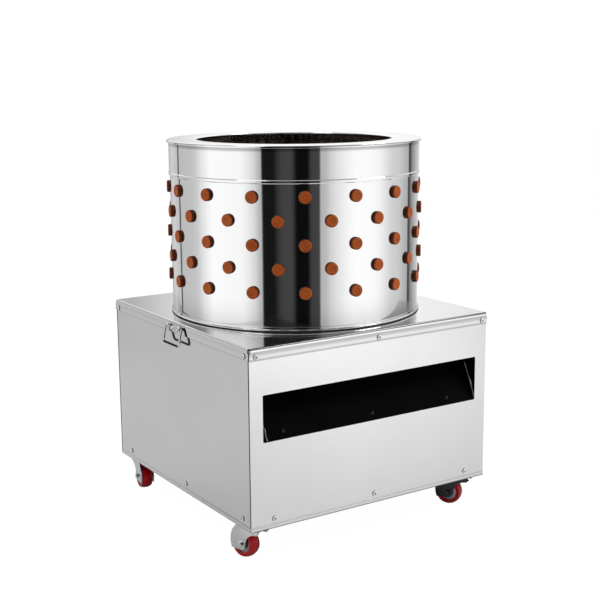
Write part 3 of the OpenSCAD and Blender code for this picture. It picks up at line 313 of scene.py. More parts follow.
def new_group(name, inputs, outputs):
    """A shader node group with named inputs of (name, kind, value) and outputs of (name, kind)."""
    group = bpy.data.node_groups.new(name, "ShaderNodeTree")
    for title, kind, value in inputs:
        group.interface.new_socket(title, in_out="INPUT", socket_type=kind).default_value = value
    for title, kind in outputs:
        group.interface.new_socket(title, in_out="OUTPUT", socket_type=kind)
    return group, put(group, "NodeGroupInput").outputs, put(group, "NodeGroupOutput").inputs


# Uneven patches, as from hands, wiping and dust
hand_marks, given, gives = new_group(
    "hand_marks", [("Size", NUMBER, 6.0), ("Amount", NUMBER, 0.5)], [("Mask", NUMBER)])
patches = put(hand_marks, "ShaderNodeTexNoise", {
    "Vector": own_place(hand_marks), "Scale": given["Size"], "Detail": 5.0, "Roughness": 0.62,
    "Distortion": 0.6})
raised = span(hand_marks, patches.outputs["Fac"], 0.42, 0.68)
hand_marks.links.new(sum_of(hand_marks, "MULTIPLY", raised, given["Amount"]), gives["Mask"])

# Height of a stretched grain, such as brushing, rolling waves or the texture of enamel
surface_grain, given, gives = new_group(
    "surface_grain", [("Stretch", ARROW, (1.0, 1.0, 1.0)), ("Depth", NUMBER, 0.01 * MM)],
    [("Height", NUMBER), ("Mask", NUMBER)])
stretched = put(surface_grain, "ShaderNodeVectorMath", {0: own_place(surface_grain), 1: given["Stretch"]},
                operation="MULTIPLY").outputs[0]
grain = put(surface_grain, "ShaderNodeTexNoise", {
    "Vector": stretched, "Scale": 1.0, "Detail": 3.0, "Roughness": 0.55}).outputs["Fac"]
surface_grain.links.new(sum_of(surface_grain, "MULTIPLY", grain, given["Depth"]), gives["Height"])
surface_grain.links.new(grain, gives["Mask"])

# Bright rub marks along the edges of a painted or moulded piece
edge_rub, given, gives = new_group(
    "edge_rub", [("Reach", NUMBER, 1.2 * MM), ("Amount", NUMBER, 0.6)], [("Mask", NUMBER)])
rounded = put(edge_rub, "ShaderNodeBevel", {"Radius": given["Reach"]}, samples=4).outputs[0]
true_face = put(edge_rub, "ShaderNodeNewGeometry").outputs["Normal"]
agree = put(edge_rub, "ShaderNodeVectorMath", {0: rounded, 1: true_face},
            operation="DOT_PRODUCT").outputs["Value"]
worn = span(edge_rub, agree, 0.99, 0.86)
edge_rub.links.new(sum_of(edge_rub, "MULTIPLY", worn, given["Amount"]), gives["Mask"])


def use(tree, group, inputs):
    """A shader group in a material, with the material's own values."""
    return put(tree, "ShaderNodeGroup", inputs, node_tree=group).outputs


def new_finish(name, **plain):
    """A material with a Principled surface and its plain values."""
    finish = bpy.data.materials.new(name)
    finish.use_nodes = True
    surface = finish.node_tree.nodes["Principled BSDF"]
    for socket, value in plain.items():
        surface.inputs[socket.replace("_", " ")].default_value = value
    return finish, finish.node_tree, surface


def feed(surface, **values):
    """Links values to a surface's inputs."""
    for socket, value in values.items():
        surface.id_data.links.new(value, surface.inputs[socket.replace("_", " ")])


def lay_normal(tree, surface, *heights):
    """Sums heights in metres into the surface's bump."""
    total = heights[0]
    for height in heights[1:]:
        total = sum_of(tree, "ADD", total, height)
    bump = put(tree, "ShaderNodeBump", {"Strength": 1.0, "Distance": 1.0, "Height": total})
    feed(surface, Normal=bump.outputs[0])


def enamel(name, colour, rubbed, roughness=0.42, peel=0.012 * MM, rub=0.45, shine=0.5):
    """Paint or moulded skin: a fine peel, patches of wear, and edges rubbed lighter."""
    finish, tree, surface = new_finish(name, Specular_IOR_Level=shine)
    patches = use(tree, hand_marks, {"Size": 9.0, "Amount": 0.5})["Mask"]
    edges = use(tree, edge_rub, {"Reach": 1.4 * MM, "Amount": rub})["Mask"]
    darker = tuple(c * 0.78 for c in colour[:3]) + (1,)
    base = mixed(tree, patches, colour, darker)
    feed(surface, Base_Color=mixed(tree, edges, base, rubbed),
         Roughness=span(tree, patches, 0.0, 1.0, roughness, roughness + 0.16))
    grain = use(tree, surface_grain, {"Stretch": (420.0, 420.0, 420.0), "Depth": peel})["Height"]
    lay_normal(tree, surface, grain)
    return finish


frame_enamel = enamel("frame_enamel", (0.026, 0.027, 0.029, 1), (0.24, 0.24, 0.25, 1))
eased_copy("base_frame", "angle_steel_frame", 0.7 * MM, frame_enamel, "cabinet", "painted_frame")


# Cabinet panels. Satin stainless sheet, hemmed along the bottom, screwed to the frame.
# The sheets ripple very slightly, and carry a faint polishing grain along their length.
def stainless(name, tone, roughness, spread, ripple, ripple_depth, grain, grain_depth, marks=0.35):
    """Stainless sheet: slow ripples, a directed polishing grain and faint hand marks."""
    finish, tree, surface = new_finish(name, Metallic=1.0)
    patches = use(tree, hand_marks, {"Size": 4.5, "Amount": marks})["Mask"]
    lines = use(tree, surface_grain, {"Stretch": grain, "Depth": grain_depth})
    waves = use(tree, surface_grain, {"Stretch": ripple, "Depth": ripple_depth})
    dull = tuple(c * 0.93 for c in tone[:3]) + (1,)
    feed(surface, Base_Color=mixed(tree, patches, tone, dull))
    uneven = sum_of(tree, "ADD", sum_of(tree, "MULTIPLY", patches, 0.6),
                    sum_of(tree, "MULTIPLY", lines["Mask"], 0.4))
    feed(surface, Roughness=span(tree, uneven, 0.0, 1.0, roughness, roughness + spread))
    lay_normal(tree, surface, lines["Height"], waves["Height"])
    return finish


def opened(finish):
    """A finish's tree, its surface, and what feeds its base colour."""
    surface = finish.node_tree.nodes["Principled BSDF"]
    return finish.node_tree, surface, surface.inputs["Base Color"].links[0].from_socket


def graded(finish, axis, stops, strength=1.0, sides=None):
    """Paints light and shade into a finish: multiplies its tone by stops of (metres along an axis, factor),
    less on the sides.
    """
    tree, surface, steel = opened(finish)
    low, high = stops[0][0], stops[-1][0]
    share = span(tree, split(tree, own_place(tree))[axis], low, high)
    factor = ramp(tree, share, [((at - low) / (high - low), tone) for at, tone in stops])
    if sides is not None:
        way = split(tree, put(tree, "ShaderNodeNewGeometry").outputs["Normal"])
        strength = span(tree, sum_of(tree, "ABSOLUTE", way["Y"]), 0.0, 0.4, sides, strength)
    made = put(tree, "ShaderNodeMix", {0: strength, 6: steel, 7: factor}, data_type="RGBA",
               blend_type="MULTIPLY")
    feed(surface, Base_Color=made.outputs[2])


def levels(node):
    """The heights of a CAD node's foot and top."""
    low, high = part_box(node)
    return low.z, high.z


front_satin = stainless(
    "front_satin", (0.93, 0.93, 0.935, 1), roughness=0.22, spread=0.08,
    ripple=(6, 6, 5), ripple_depth=0.22 * MM, grain=(14, 900, 900), grain_depth=0.0012 * MM)
side_satin = stainless(
    "side_satin", (0.87, 0.87, 0.875, 1), roughness=0.09, spread=0.05,
    ripple=(5, 6, 5), ripple_depth=0.1 * MM, grain=(900, 14, 900), grain_depth=0.0006 * MM)
hem = levels("front_panel")[0]
fold, lid_face = levels("lid_tray")
# Painted light along the panels' height: a painted shadow at the bottom edge, a painted highlight on the
# hem, a darker line above the hem, and a painted shadow under the lid's skirt. The side sheets get it at
# about half strength.
panel_painted_light = [
    (hem, 0.20), (hem + 1.6 * MM, 0.22), (hem + 2.4 * MM, 1.0), (hem + 6.2 * MM, 1.0),
    (hem + 7.2 * MM, 0.84), (hem + 10 * MM, 0.90), (hem + 12 * MM, 1.0), (fold - 2.6 * MM, 1.0),
    (fold - 2.0 * MM, 0.45), (fold + 0.5 * MM, 0.42),
]
graded(front_satin, "Z", panel_painted_light)
# Painted shade: the front and back sheets darken towards their +X end.
graded(front_satin, "X", [(-0.31, 1.0), (-0.05, 1.0), (0.14, 0.91), (0.31, 0.82)])
graded(side_satin, "Z", panel_painted_light, strength=0.55)
for node, name, finish in [
    ("front_panel", "front_sheet", front_satin), ("back_panel", "back_sheet", front_satin),
    ("left_panel", "left_sheet", side_satin), ("right_panel", "right_sheet", side_satin),
]:
    eased_copy(node, name, 0.3 * MM, finish, "cabinet", "brushed_panel")


# Lid. One tray of polished stainless, folded down all round, slit at its corners, with a hole
# for the barrel. Its top mirrors the barrel.
mirror_lid = stainless(
    "mirror_lid", (0.93, 0.93, 0.935, 1), roughness=0.06, spread=0.05,
    ripple=(5, 5, 5), ripple_depth=0.09 * MM, grain=(600, 24, 600), grain_depth=0.00015 * MM)
# Painted light on the lid's folded skirt, by height: a darker lower edge, a painted highlight band above
# it, a grey middle band of painted reflection, a painted highlight band near the top, and a painted dark
# strip along the top fold where a glint would fall. It is full on the front and back skirts and weaker
# elsewhere.
graded(mirror_lid, "Z", [
    (fold, 0.62), (fold + 1.5 * MM, 0.64), (fold + 3 * MM, 0.86), (fold + 7 * MM, 0.84),
    (fold + 10 * MM, 0.62), (fold + 15.5 * MM, 0.52), (lid_face - 7.6 * MM, 0.60),
    (lid_face - 6.6 * MM, 1.0), (lid_face - 4.4 * MM, 1.0), (lid_face - 3.6 * MM, 0.34),
    (lid_face - 1.2 * MM, 0.26),
    (lid_face - 0.8 * MM, 0.08), (lid_face - 0.14 * MM, 0.08), (lid_face, 1.0),
], sides=0.25)
eased_copy("lid_tray", "folded_lid", 0.3 * MM, mirror_lid, "cabinet", "polished_sheet")


# Barrel. A mirror-polished sheet rolled to a cylinder, punched with staggered rows of round
# holes for the fingers. The rows follow one rule, so nodes lay out the punched cells and roll them.
WHOLE = "NodeSocketInt"
SHAPE = "NodeSocketObject"


def new_rule(name, inputs):
    """A geometry tree with named inputs of (name, kind) and a finish, and the inputs' values."""
    tree = bpy.data.node_groups.new(name, "GeometryNodeTree")
    for title, kind in inputs + [("Finish", "NodeSocketMaterial")]:
        tree.interface.new_socket(title, in_out="INPUT", socket_type=kind)
    tree.interface.new_socket("Geometry", in_out="OUTPUT", socket_type="NodeSocketGeometry")
    return tree, put(tree, "NodeGroupInput").outputs


def end_rule(tree, shape, finish):
    """Ends a geometry tree: its instances are made real and get their finish."""
    solid = put(tree, "GeometryNodeRealizeInstances", {0: shape}).outputs[0]
    dressed = put(tree, "GeometryNodeSetMaterial", {"Geometry": solid, "Material": finish}).outputs[0]
    tree.links.new(dressed, put(tree, "NodeGroupOutput").inputs[0])


def arrow(tree, x=0.0, y=0.0, z=0.0):
    """A vector of X, Y and Z."""
    return put(tree, "ShaderNodeCombineXYZ", {0: x, 1: y, 2: z}).outputs[0]


def pattern_of(tree, source):
    """The shape of an object that a tree repeats."""
    return put(tree, "GeometryNodeObjectInfo", {"Object": source, "As Instance": True}).outputs["Geometry"]


def placed_on(tree, points, pattern, rotation=(0.0, 0.0, 0.0)):
    """A pattern at each point."""
    return put(tree, "GeometryNodeInstanceOnPoints", {
        "Points": points, "Instance": pattern, "Rotation": rotation}).outputs[0]


def made_by(tree, name, values, mesh=None):
    """The plain mesh that a geometry tree makes with these inputs."""
    piece = link_piece(name, mesh or bpy.data.meshes.new(name))
    rule = piece.modifiers.new("rule", "NODES")
    rule.node_group = tree
    for item in tree.interface.items_tree:
        if item.item_type == "SOCKET" and item.in_out == "INPUT" and item.name in values:
            rule[item.identifier] = values[item.name]
    bake_modifiers(piece)
    return piece


barrel_radius = 280 * MM
barrel_wall = 1.5 * MM
barrel_bottom, barrel_top = levels("drum_shell")
finger_rows = 5
fingers_per_row = 16
row_pitch = 49.6 * MM
first_row_height = levels("top_ring")[1] - 104.5 * MM
row_turn = math.radians(-6)
hole_radius = 10 * MM
SIDE = 8


def cell_outline(count):
    """Points round a unit square's edge, anticlockwise from its lower right corner."""
    line = []
    corners = [(0.5, -0.5), (0.5, 0.5), (-0.5, 0.5), (-0.5, -0.5), (0.5, -0.5)]
    for a, b in zip(corners, corners[1:]):
        line += [(a[0] + (b[0] - a[0]) * i / count, a[1] + (b[1] - a[1]) * i / count)
                 for i in range(count)]
    return line


def punched_cell():
    """One punched cell, as both skins of the sheet and the hole's edge between them."""
    wide = hole_radius / (barrel_radius * 2 * math.pi / fingers_per_row)
    tall = hole_radius / row_pitch
    edge = cell_outline(SIDE)
    count = len(edge)
    hole = []
    for x, y in edge:
        a = math.atan2(y * 2, x * 2)
        hole.append((wide * math.cos(a), tall * math.sin(a)))
    points, faces = [], []
    for depth in (0, 1):
        for share in (0, 0.35, 1):
            points += [(h[0] + (e[0] - h[0]) * share, h[1] + (e[1] - h[1]) * share, depth)
                       for h, e in zip(hole, edge)]
    for skin in (0, 3):
        for ring in (0, 1):
            low, high = (skin + ring) * count, (skin + ring + 1) * count
            for i in range(count):
                j = (i + 1) % count
                faces.append((low + i, low + j, high + j, high + i))
    for i in range(count):
        j = (i + 1) % count
        faces.append((i, j, 3 * count + j, 3 * count + i))
    return plain_piece("punched_cell", points, faces)


def plain_cell():
    """One cell of the unpunched bands at the barrel's ends, closed along its outer edge."""
    across = [i / SIDE - 0.5 for i in range(SIDE + 1)]
    points = [(x, y, d) for d in (0, 1) for y in (-0.5, 0.5) for x in across]
    row = SIDE + 1
    faces = []
    for i in range(SIDE):
        faces.append((i, i + 1, row + i + 1, row + i))
        faces.append((2 * row + i, 2 * row + i + 1, 3 * row + i + 1, 3 * row + i))
        faces.append((row + i, row + i + 1, 3 * row + i + 1, 3 * row + i))
    return plain_piece("plain_cell", points, faces)


def staggered(tree, per_row):
    """Each point's index, its row, and the half step that every other row is moved along by."""
    index = put(tree, "GeometryNodeInputIndex").outputs[0]
    row = sum_of(tree, "FLOOR", sum_of(tree, "DIVIDE", sum_of(tree, "ADD", index, 0.5), per_row))
    return index, row, sum_of(tree, "MULTIPLY", sum_of(tree, "MODULO", row, 2.0), 0.5)


rolled_sheet, given = new_rule("rolled_punched_sheet", [
    ("Punched Cell", SHAPE), ("Plain Cell", SHAPE), ("Rows", WHOLE), ("Holes per Row", WHOLE),
    ("Row Pitch", NUMBER), ("First Row Height", NUMBER), ("Turn", NUMBER), ("Radius", NUMBER),
    ("Wall", NUMBER), ("Top", NUMBER), ("Bottom", NUMBER)])
tree = rolled_sheet
count = sum_of(tree, "MULTIPLY", given["Rows"], given["Holes per Row"])
index, row, shift = staggered(tree, given["Holes per Row"])
along = sum_of(tree, "SUBTRACT", index, sum_of(tree, "MULTIPLY", row, given["Holes per Row"]))
spot = arrow(tree, sum_of(tree, "ADD", along, shift), sum_of(tree, "MULTIPLY", row, -1.0))
cells = put(tree, "GeometryNodePoints", {"Count": count, "Position": spot}).outputs[0]
field = [placed_on(tree, cells, pattern_of(tree, given["Punched Cell"]))]
plain = pattern_of(tree, given["Plain Cell"])
for level, turn in [(1.0, 0.0), (sum_of(tree, "MULTIPLY", given["Rows"], -1.0), math.pi)]:
    band = put(tree, "GeometryNodePoints", {
        "Count": given["Holes per Row"], "Position": arrow(tree, index, level)}).outputs[0]
    field.append(placed_on(tree, band, plain, (0.0, 0.0, turn)))
joined = put(tree, "GeometryNodeJoinGeometry")
for part in field:
    tree.links.new(part, joined.inputs[0])
flat = put(tree, "GeometryNodeRealizeInstances", {0: joined.outputs[0]}).outputs[0]
at = split(tree, put(tree, "GeometryNodeInputPosition").outputs[0])
half_low = sum_of(tree, "SUBTRACT", 0.5, given["Rows"])
inside = put(tree, "ShaderNodeClamp", {0: at["Y"], 1: half_low, 2: 0.5}).outputs[0]
in_rows = sum_of(tree, "MULTIPLY_ADD", inside, given["Row Pitch"], given["First Row Height"])
top_start = sum_of(tree, "MULTIPLY_ADD", given["Row Pitch"], 0.5, given["First Row Height"])
low_start = sum_of(tree, "MULTIPLY_ADD", half_low, given["Row Pitch"], given["First Row Height"])
over = sum_of(tree, "MAXIMUM", sum_of(tree, "SUBTRACT", at["Y"], 0.5), 0.0)
under = sum_of(tree, "MAXIMUM", sum_of(tree, "SUBTRACT", half_low, at["Y"]), 0.0)
rise = sum_of(tree, "MULTIPLY", over, sum_of(tree, "SUBTRACT", given["Top"], top_start))
fall = sum_of(tree, "MULTIPLY", under, sum_of(tree, "SUBTRACT", low_start, given["Bottom"]))
height = sum_of(tree, "SUBTRACT", sum_of(tree, "ADD", in_rows, rise), fall)
step = sum_of(tree, "DIVIDE", 2 * math.pi, given["Holes per Row"])
angle = sum_of(tree, "MULTIPLY_ADD", at["X"], step, given["Turn"])
reach = sum_of(tree, "SUBTRACT", given["Radius"], sum_of(tree, "MULTIPLY", at["Z"], given["Wall"]))
rolled = arrow(tree, sum_of(tree, "MULTIPLY", reach, sum_of(tree, "COSINE", angle)),
               sum_of(tree, "MULTIPLY", reach, sum_of(tree, "SINE", angle)), height)
bent = put(tree, "GeometryNodeSetPosition", {"Geometry": flat, "Position": rolled}).outputs[0]
closed = put(tree, "GeometryNodeMergeByDistance", {"Geometry": bent, "Distance": 0.01 * MM}).outputs[0]
end_rule(tree, closed, given["Finish"])

mirror_barrel = stainless(
    "mirror_barrel", (0.94, 0.94, 0.945, 1), roughness=0.035, spread=0.05,
    ripple=(9, 9, 1.6), ripple_depth=0.05 * MM, grain=(40, 40, 700), grain_depth=0.0003 * MM, marks=0.25)
holed, unholed = punched_cell(), plain_cell()
barrel = made_by(rolled_sheet, "punched_barrel", {
    "Punched Cell": holed, "Plain Cell": unholed, "Rows": finger_rows,
    "Holes per Row": fingers_per_row, "Row Pitch": row_pitch, "First Row Height": first_row_height,
    "Turn": row_turn, "Radius": barrel_radius, "Wall": barrel_wall, "Top": barrel_top,
    "Bottom": barrel_bottom, "Finish": mirror_barrel})
for pattern in (holed, unholed):
    bpy.data.objects.remove(pattern)


def turn_outwards(piece):
    """Turns a closed mesh's faces outwards."""
    form = bmesh.new()
    form.from_mesh(piece.data)
    bmesh.ops.recalc_face_normals(form, faces=form.faces)
    form.to_mesh(piece.data)
    form.free()


def true_round(piece):
    """Gives the skins of a rolled sheet the normals of a true cylinder round Z."""
    piece.data.shade_smooth()
    normals = []
    for face in piece.data.polygons:
        middle = Vector((face.center.x, face.center.y, 0)).normalized()
        lean = face.normal.dot(middle)
        for corner in face.vertices:
            spot = piece.data.vertices[corner].co
            radial = Vector((spot.x, spot.y, 0)).normalized()
            normals.append(radial if lean > 0.9 else -radial if lean < -0.9 else face.normal.copy())
    piece.data.normals_split_custom_set([n[:] for n in normals])


turn_outwards(barrel)
true_round(barrel)
fit(barrel, mirror_barrel, "cabinet", "polished_sheet", "drum_shell")


# Collar, top ring and foot band. Polished sheet rolled round the barrel: the collar has a
# raised bead, the ring a turned-down lip and a rolled mouth, and the band holds the lid down.
def rounded_outline(corners):
    """A closed outline of (x, y, radius) corners, each rounded by its own radius."""
    line = []
    steps = 4
    for i, (x, y, r) in enumerate(corners):
        here = Vector((x, y))
        before = Vector(corners[i - 1][:2]) - here
        after = Vector(corners[(i + 1) % len(corners)][:2]) - here
        between = before.angle(after)
        if r <= 0 or between > math.pi - 0.02:
            line.append((x, y))
            continue
        cut = min(r / math.tan(between / 2), before.length * 0.49, after.length * 0.49)
        first = here + before.normalized() * cut
        last = here + after.normalized() * cut
        for s in range(steps + 1):
            t = s / steps
            line.append(tuple(first.lerp(here, t).lerp(here.lerp(last, t), t)))
    return line


def closed_piece(name, points, faces):
    """A piece from points in metres, merged and with its faces turned outwards."""
    form = bmesh.new()
    corners = [form.verts.new(p) for p in points]
    for f in faces:
        form.faces.new([corners[i] for i in f])
    bmesh.ops.remove_doubles(form, verts=form.verts, dist=1e-7)
    bmesh.ops.dissolve_degenerate(form, dist=1e-8, edges=form.edges)
    bmesh.ops.recalc_face_normals(form, faces=form.faces)
    return formed_piece(name, form)


def revolved(name, line, segments, sharp_deg, closed=True):
    """A line of (radius, height) turned once round Z. An open one starts and ends on the axis."""
    points, faces = [], []
    count = len(line)
    for s in range(segments):
        a = 2 * math.pi * s / segments
        points += [(r * math.cos(a), r * math.sin(a), z) for r, z in line]
    for s in range(segments):
        t = (s + 1) % segments
        for i in range(count if closed else count - 1):
            j = (i + 1) % count
            faces.append((s * count + i, t * count + i, t * count + j, s * count + j))
    piece = closed_piece(name, points, faces)
    shade(piece, sharp_deg)
    return piece


wall_seat = 0.05 * MM
band_wall = 1.4 * MM
bead_out = 1.1 * MM
collar_foot, collar_top = levels("drum_collar")
collar_in = barrel_radius + wall_seat
collar_out = barrel_radius + band_wall
collar = revolved("rolled_collar", rounded_outline([
    (collar_in, collar_foot, 0), (collar_out, collar_foot, 0.4 * MM),
    (collar_out + bead_out, collar_foot + 1.5 * MM, 1.2 * MM),
    (collar_out + bead_out, collar_foot + 6.5 * MM, 1.2 * MM),
    (collar_out, collar_foot + 8 * MM, 0.8 * MM), (collar_out, collar_top, 0),
    (collar_in, collar_top, 0)]), segments=192, sharp_deg=40)
fit(collar, mirror_barrel, "cabinet", "polished_sheet", "drum_collar")

ring_foot, ring_top = levels("top_ring")
ring_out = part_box("top_ring")[1].x
mouth = 219.4 * MM
ring = revolved("mouth_ring", rounded_outline([
    (mouth, ring_top, 1.9 * MM), (ring_out, ring_top, 1.4 * MM), (ring_out, ring_foot, 0.5 * MM),
    (ring_out - 1.5 * MM, ring_foot, 0.5 * MM), (ring_out - 1.5 * MM, ring_top - 1.5 * MM, 0),
    (mouth + 4 * MM, ring_top - 1.5 * MM, 0.8 * MM), (mouth + 3.4 * MM, ring_top - 4 * MM, 1.6 * MM),
    (mouth, ring_top - 4 * MM, 1.9 * MM)]), segments=192, sharp_deg=40)
mirror_ring = stainless(
    "mirror_ring", (0.93, 0.93, 0.935, 1), roughness=0.07, spread=0.05,
    ripple=(8, 8, 8), ripple_depth=0.04 * MM, grain=(300, 300, 300), grain_depth=0.0003 * MM)
fit(ring, mirror_ring, "cabinet", "polished_sheet", "top_ring")

band_foot, band_top = levels("base_band")
band = revolved("foot_band", rounded_outline([
    (collar_in, band_foot, 0), (collar_out + 2.2 * MM, band_foot, 0.2 * MM),
    (collar_out + 2.2 * MM, band_foot + 1.5 * MM, 0.8 * MM),
    (collar_out, band_foot + 3 * MM, 1.6 * MM), (collar_out, band_top, 0.7 * MM),
    (collar_in, band_top, 0)]), segments=192, sharp_deg=40)
fit(band, mirror_barrel, "cabinet", "polished_sheet", "base_band")

# Painted shade on the barrel, the collar and the foot band, by height: darker near the lid, and a painted
# shadow on the collar under the ring's lip.
ring_shade = ring_foot - 0.3 * MM
graded(mirror_barrel, "Z", [
    (band_foot, 0.80), (band_top + 6 * MM, 0.80), (band_top + 30 * MM, 0.93),
    (band_top + 55 * MM, 1.0), (ring_shade - 9 * MM, 1.0), (ring_shade - 6.5 * MM, 0.84),
    (ring_shade - 4.5 * MM, 0.58), (ring_shade, 0.52),
])

gasket_low, gasket_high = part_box("foot_gasket")
gasket = revolved("foot_seal", rounded_outline([
    (collar_in, gasket_low.z, 0), (gasket_high.x, gasket_low.z, 0.3 * MM),
    (gasket_high.x, gasket_high.z, 0.5 * MM), (collar_in, gasket_high.z, 0)]), segments=192, sharp_deg=50)
gasket_rubber = enamel("gasket_rubber", (0.012, 0.012, 0.012, 1), (0.03, 0.03, 0.03, 1),
                       roughness=0.60, peel=0.04 * MM, rub=0.2, shine=0.3)
fit(gasket, gasket_rubber, "cabinet", "gasket_rubber", "foot_gasket")


# Rubber fingers. Moulded natural rubber, pulled through the holes: a flat head outside, a neck in
# the sheet, and a ringed shank that points at the drum's axis or up from the plate.
def finger_form(name, hole, seat, seat_in, length):
    """One finger along +Z, its head below the sheet's near face at height 0."""
    head, neck = 13.5, 9.9
    shank, tip = 10.4, 7.0
    rings = 8
    low = hole + seat_in
    start = low + 5
    pitch = (length - start) / rings
    face = -seat - 7
    line = [
        (0, face), (3.2, face), (3.9, face + 0.45), (5.0, face + 0.45), (5.7, face),
        (head - 2.4, face), (head - 1.0, face + 0.5), (head - 0.25, face + 1.6),
        (head, face + 2.9), (head, -seat - 1.0), (head - 0.6, -seat), (neck, -seat),
        (neck, low), (12.5, low), (12.4, low + 1.2), (11.2, low + 3.6),
    ]
    for i in range(rings):
        for share, dip in [(0.05, -1.25), (0.3, -1.3), (0.6, -0.1), (0.85, -0.1)]:
            across = shank + (tip - shank) * (i + share) / rings
            line.append((across + dip, start + (i + share) * pitch))
    line += [(tip - 1.3, length - 0.9), (tip - 3.2, length), (0, length)]
    return revolved(name, [(r * MM, z * MM) for r, z in line], segments=20, sharp_deg=50,
                    closed=False)


def spun_round(tree, placed, angles):
    """Turns each placed pattern in its own space by three angles."""
    turn = put(tree, "FunctionNodeEulerToRotation", {0: angles}).outputs[0]
    return put(tree, "GeometryNodeRotateInstances", {
        "Instances": placed, "Rotation": turn, "Local Space": True}).outputs[0]


ring_layout, given = new_rule("staggered_rows", [
    ("Finger", SHAPE), ("Rows", WHOLE), ("Fingers per Row", WHOLE), ("Row Pitch", NUMBER),
    ("First Row Height", NUMBER), ("Turn", NUMBER), ("Radius", NUMBER), ("Seed", WHOLE)])
tree = ring_layout
count = sum_of(tree, "MULTIPLY", given["Rows"], given["Fingers per Row"])
index, row, shift = staggered(tree, given["Fingers per Row"])
step = sum_of(tree, "DIVIDE", 2 * math.pi, given["Fingers per Row"])
angle = sum_of(tree, "MULTIPLY_ADD", sum_of(tree, "ADD", index, shift), step, given["Turn"])
across, back = sum_of(tree, "COSINE", angle), sum_of(tree, "SINE", angle)
drop = sum_of(tree, "MULTIPLY", row, given["Row Pitch"])
height = sum_of(tree, "SUBTRACT", given["First Row Height"], drop)
spot = arrow(tree, sum_of(tree, "MULTIPLY", across, given["Radius"]),
             sum_of(tree, "MULTIPLY", back, given["Radius"]), height)
inward = arrow(tree, sum_of(tree, "MULTIPLY", across, -1.0), sum_of(tree, "MULTIPLY", back, -1.0))
facing = put(tree, "FunctionNodeAlignRotationToVector", {"Vector": inward}, axis="Z").outputs[0]
points = put(tree, "GeometryNodePoints", {"Count": count, "Position": spot}).outputs[0]
placed = placed_on(tree, points, pattern_of(tree, given["Finger"]), facing)
loose = put(tree, "FunctionNodeRandomValue", {
    0: (0.0, 0.0, -math.pi), 1: (0.0, 0.0, math.pi), 8: given["Seed"]}, data_type="FLOAT_VECTOR").outputs[0]
end_rule(tree, spun_round(tree, placed, loose), given["Finish"])

finger_rubber, tree, surface = new_finish("natural_rubber", Specular_IOR_Level=0.16)
blotches = use(tree, hand_marks, {"Size": 38.0, "Amount": 0.8})["Mask"]
slow = use(tree, hand_marks, {"Size": 11.0, "Amount": 0.7})["Mask"]
fresh = mixed(tree, blotches, (0.47, 0.094, 0.015, 1), (0.36, 0.064, 0.010, 1))
face = mixed(tree, slow, fresh, (0.52, 0.125, 0.024, 1))
place = split(tree, own_place(tree))
out = put(tree, "ShaderNodeVectorMath", {0: arrow(tree, place["X"], place["Y"])},
          operation="LENGTH").outputs["Value"]
# Painted shade by distance from the barrel's axis: the sides of the heads are darker than their faces, and
# everything inside the barrel's wall, including the fingers standing on the plate, is near black.
outer = span(tree, out, barrel_radius + 5.8 * MM, barrel_radius + 6.8 * MM)
inner = span(tree, out, barrel_radius - 1 * MM, barrel_radius - 4 * MM)
shaded_flank = mixed(tree, blotches, (0.105, 0.024, 0.008, 1), (0.070, 0.016, 0.005, 1))
shank = mixed(tree, blotches, (0.060, 0.025, 0.013, 1), (0.034, 0.014, 0.008, 1))
feed(surface, Base_Color=mixed(tree, inner, mixed(tree, outer, shaded_flank, face), shank),
     Roughness=span(tree, blotches, 0.0, 1.0, 0.42, 0.62))
skin = use(tree, surface_grain, {"Stretch": (900.0, 900.0, 900.0), "Depth": 0.012 * MM})["Height"]
lay_normal(tree, surface, skin)

single = finger_form("single_finger", hole=1.5, seat=0.1, seat_in=0.45, length=88)
barrel_fingers = made_by(ring_layout, "barrel_fingers", {
    "Finger": single, "Rows": finger_rows, "Fingers per Row": fingers_per_row,
    "Row Pitch": row_pitch, "First Row Height": first_row_height, "Turn": row_turn,
    "Radius": barrel_radius, "Seed": 4, "Finish": finger_rubber})
bpy.data.objects.remove(single)
fit(barrel_fingers, finger_rubber, "cabinet", "finger_rubber",
    "drum_fingers_odd_rows", "drum_fingers_even_rows")


# Finger plate. A turned stainless disc on a bored hub, clamped to the spindle by a domed nut,
# with three rings of fingers and two paddles under its rim that sweep the feathers out.
ring_of_pieces, given = new_rule("rings_of_pieces", [
    ("Piece", SHAPE), ("First Ring Radius", NUMBER), ("Ring Pitch", NUMBER), ("Height", NUMBER),
    ("Ring Turn", NUMBER), ("Per Ring", WHOLE)])
tree = ring_of_pieces
pattern = pattern_of(tree, given["Piece"])
joined = put(tree, "GeometryNodeJoinGeometry")
for k in (1, 2, 3):
    wide = sum_of(tree, "MULTIPLY_ADD", given["Ring Pitch"], float(k - 1), given["First Ring Radius"])
    many = sum_of(tree, "MULTIPLY", given["Per Ring"], float(k))
    hoop = put(tree, "GeometryNodeMeshCircle", {"Vertices": many, "Radius": wide}).outputs[0]
    turn = arrow(tree, z=sum_of(tree, "MULTIPLY", given["Ring Turn"], float(k)))
    hoop = put(tree, "GeometryNodeTransform", {
        "Geometry": hoop, "Translation": arrow(tree, z=given["Height"]), "Rotation": turn}).outputs[0]
    tree.links.new(placed_on(tree, hoop, pattern), joined.inputs[0])
end_rule(tree, joined.outputs[0], given["Finish"])

plate_height = levels("spindle_nut")[0] - 4 * MM
upright = finger_form("upright_finger", hole=4, seat=0, seat_in=0, length=90.5)
plate_fingers = made_by(ring_of_pieces, "standing_fingers", {
    "Piece": upright, "First Ring Radius": 92 * MM, "Ring Pitch": 66 * MM, "Height": plate_height,
    "Ring Turn": math.radians(15), "Per Ring": 6, "Finish": finger_rubber})
bpy.data.objects.remove(upright)
fit(plate_fingers, finger_rubber, "finger_plate_rotor", "finger_rubber", "plate_fingers")

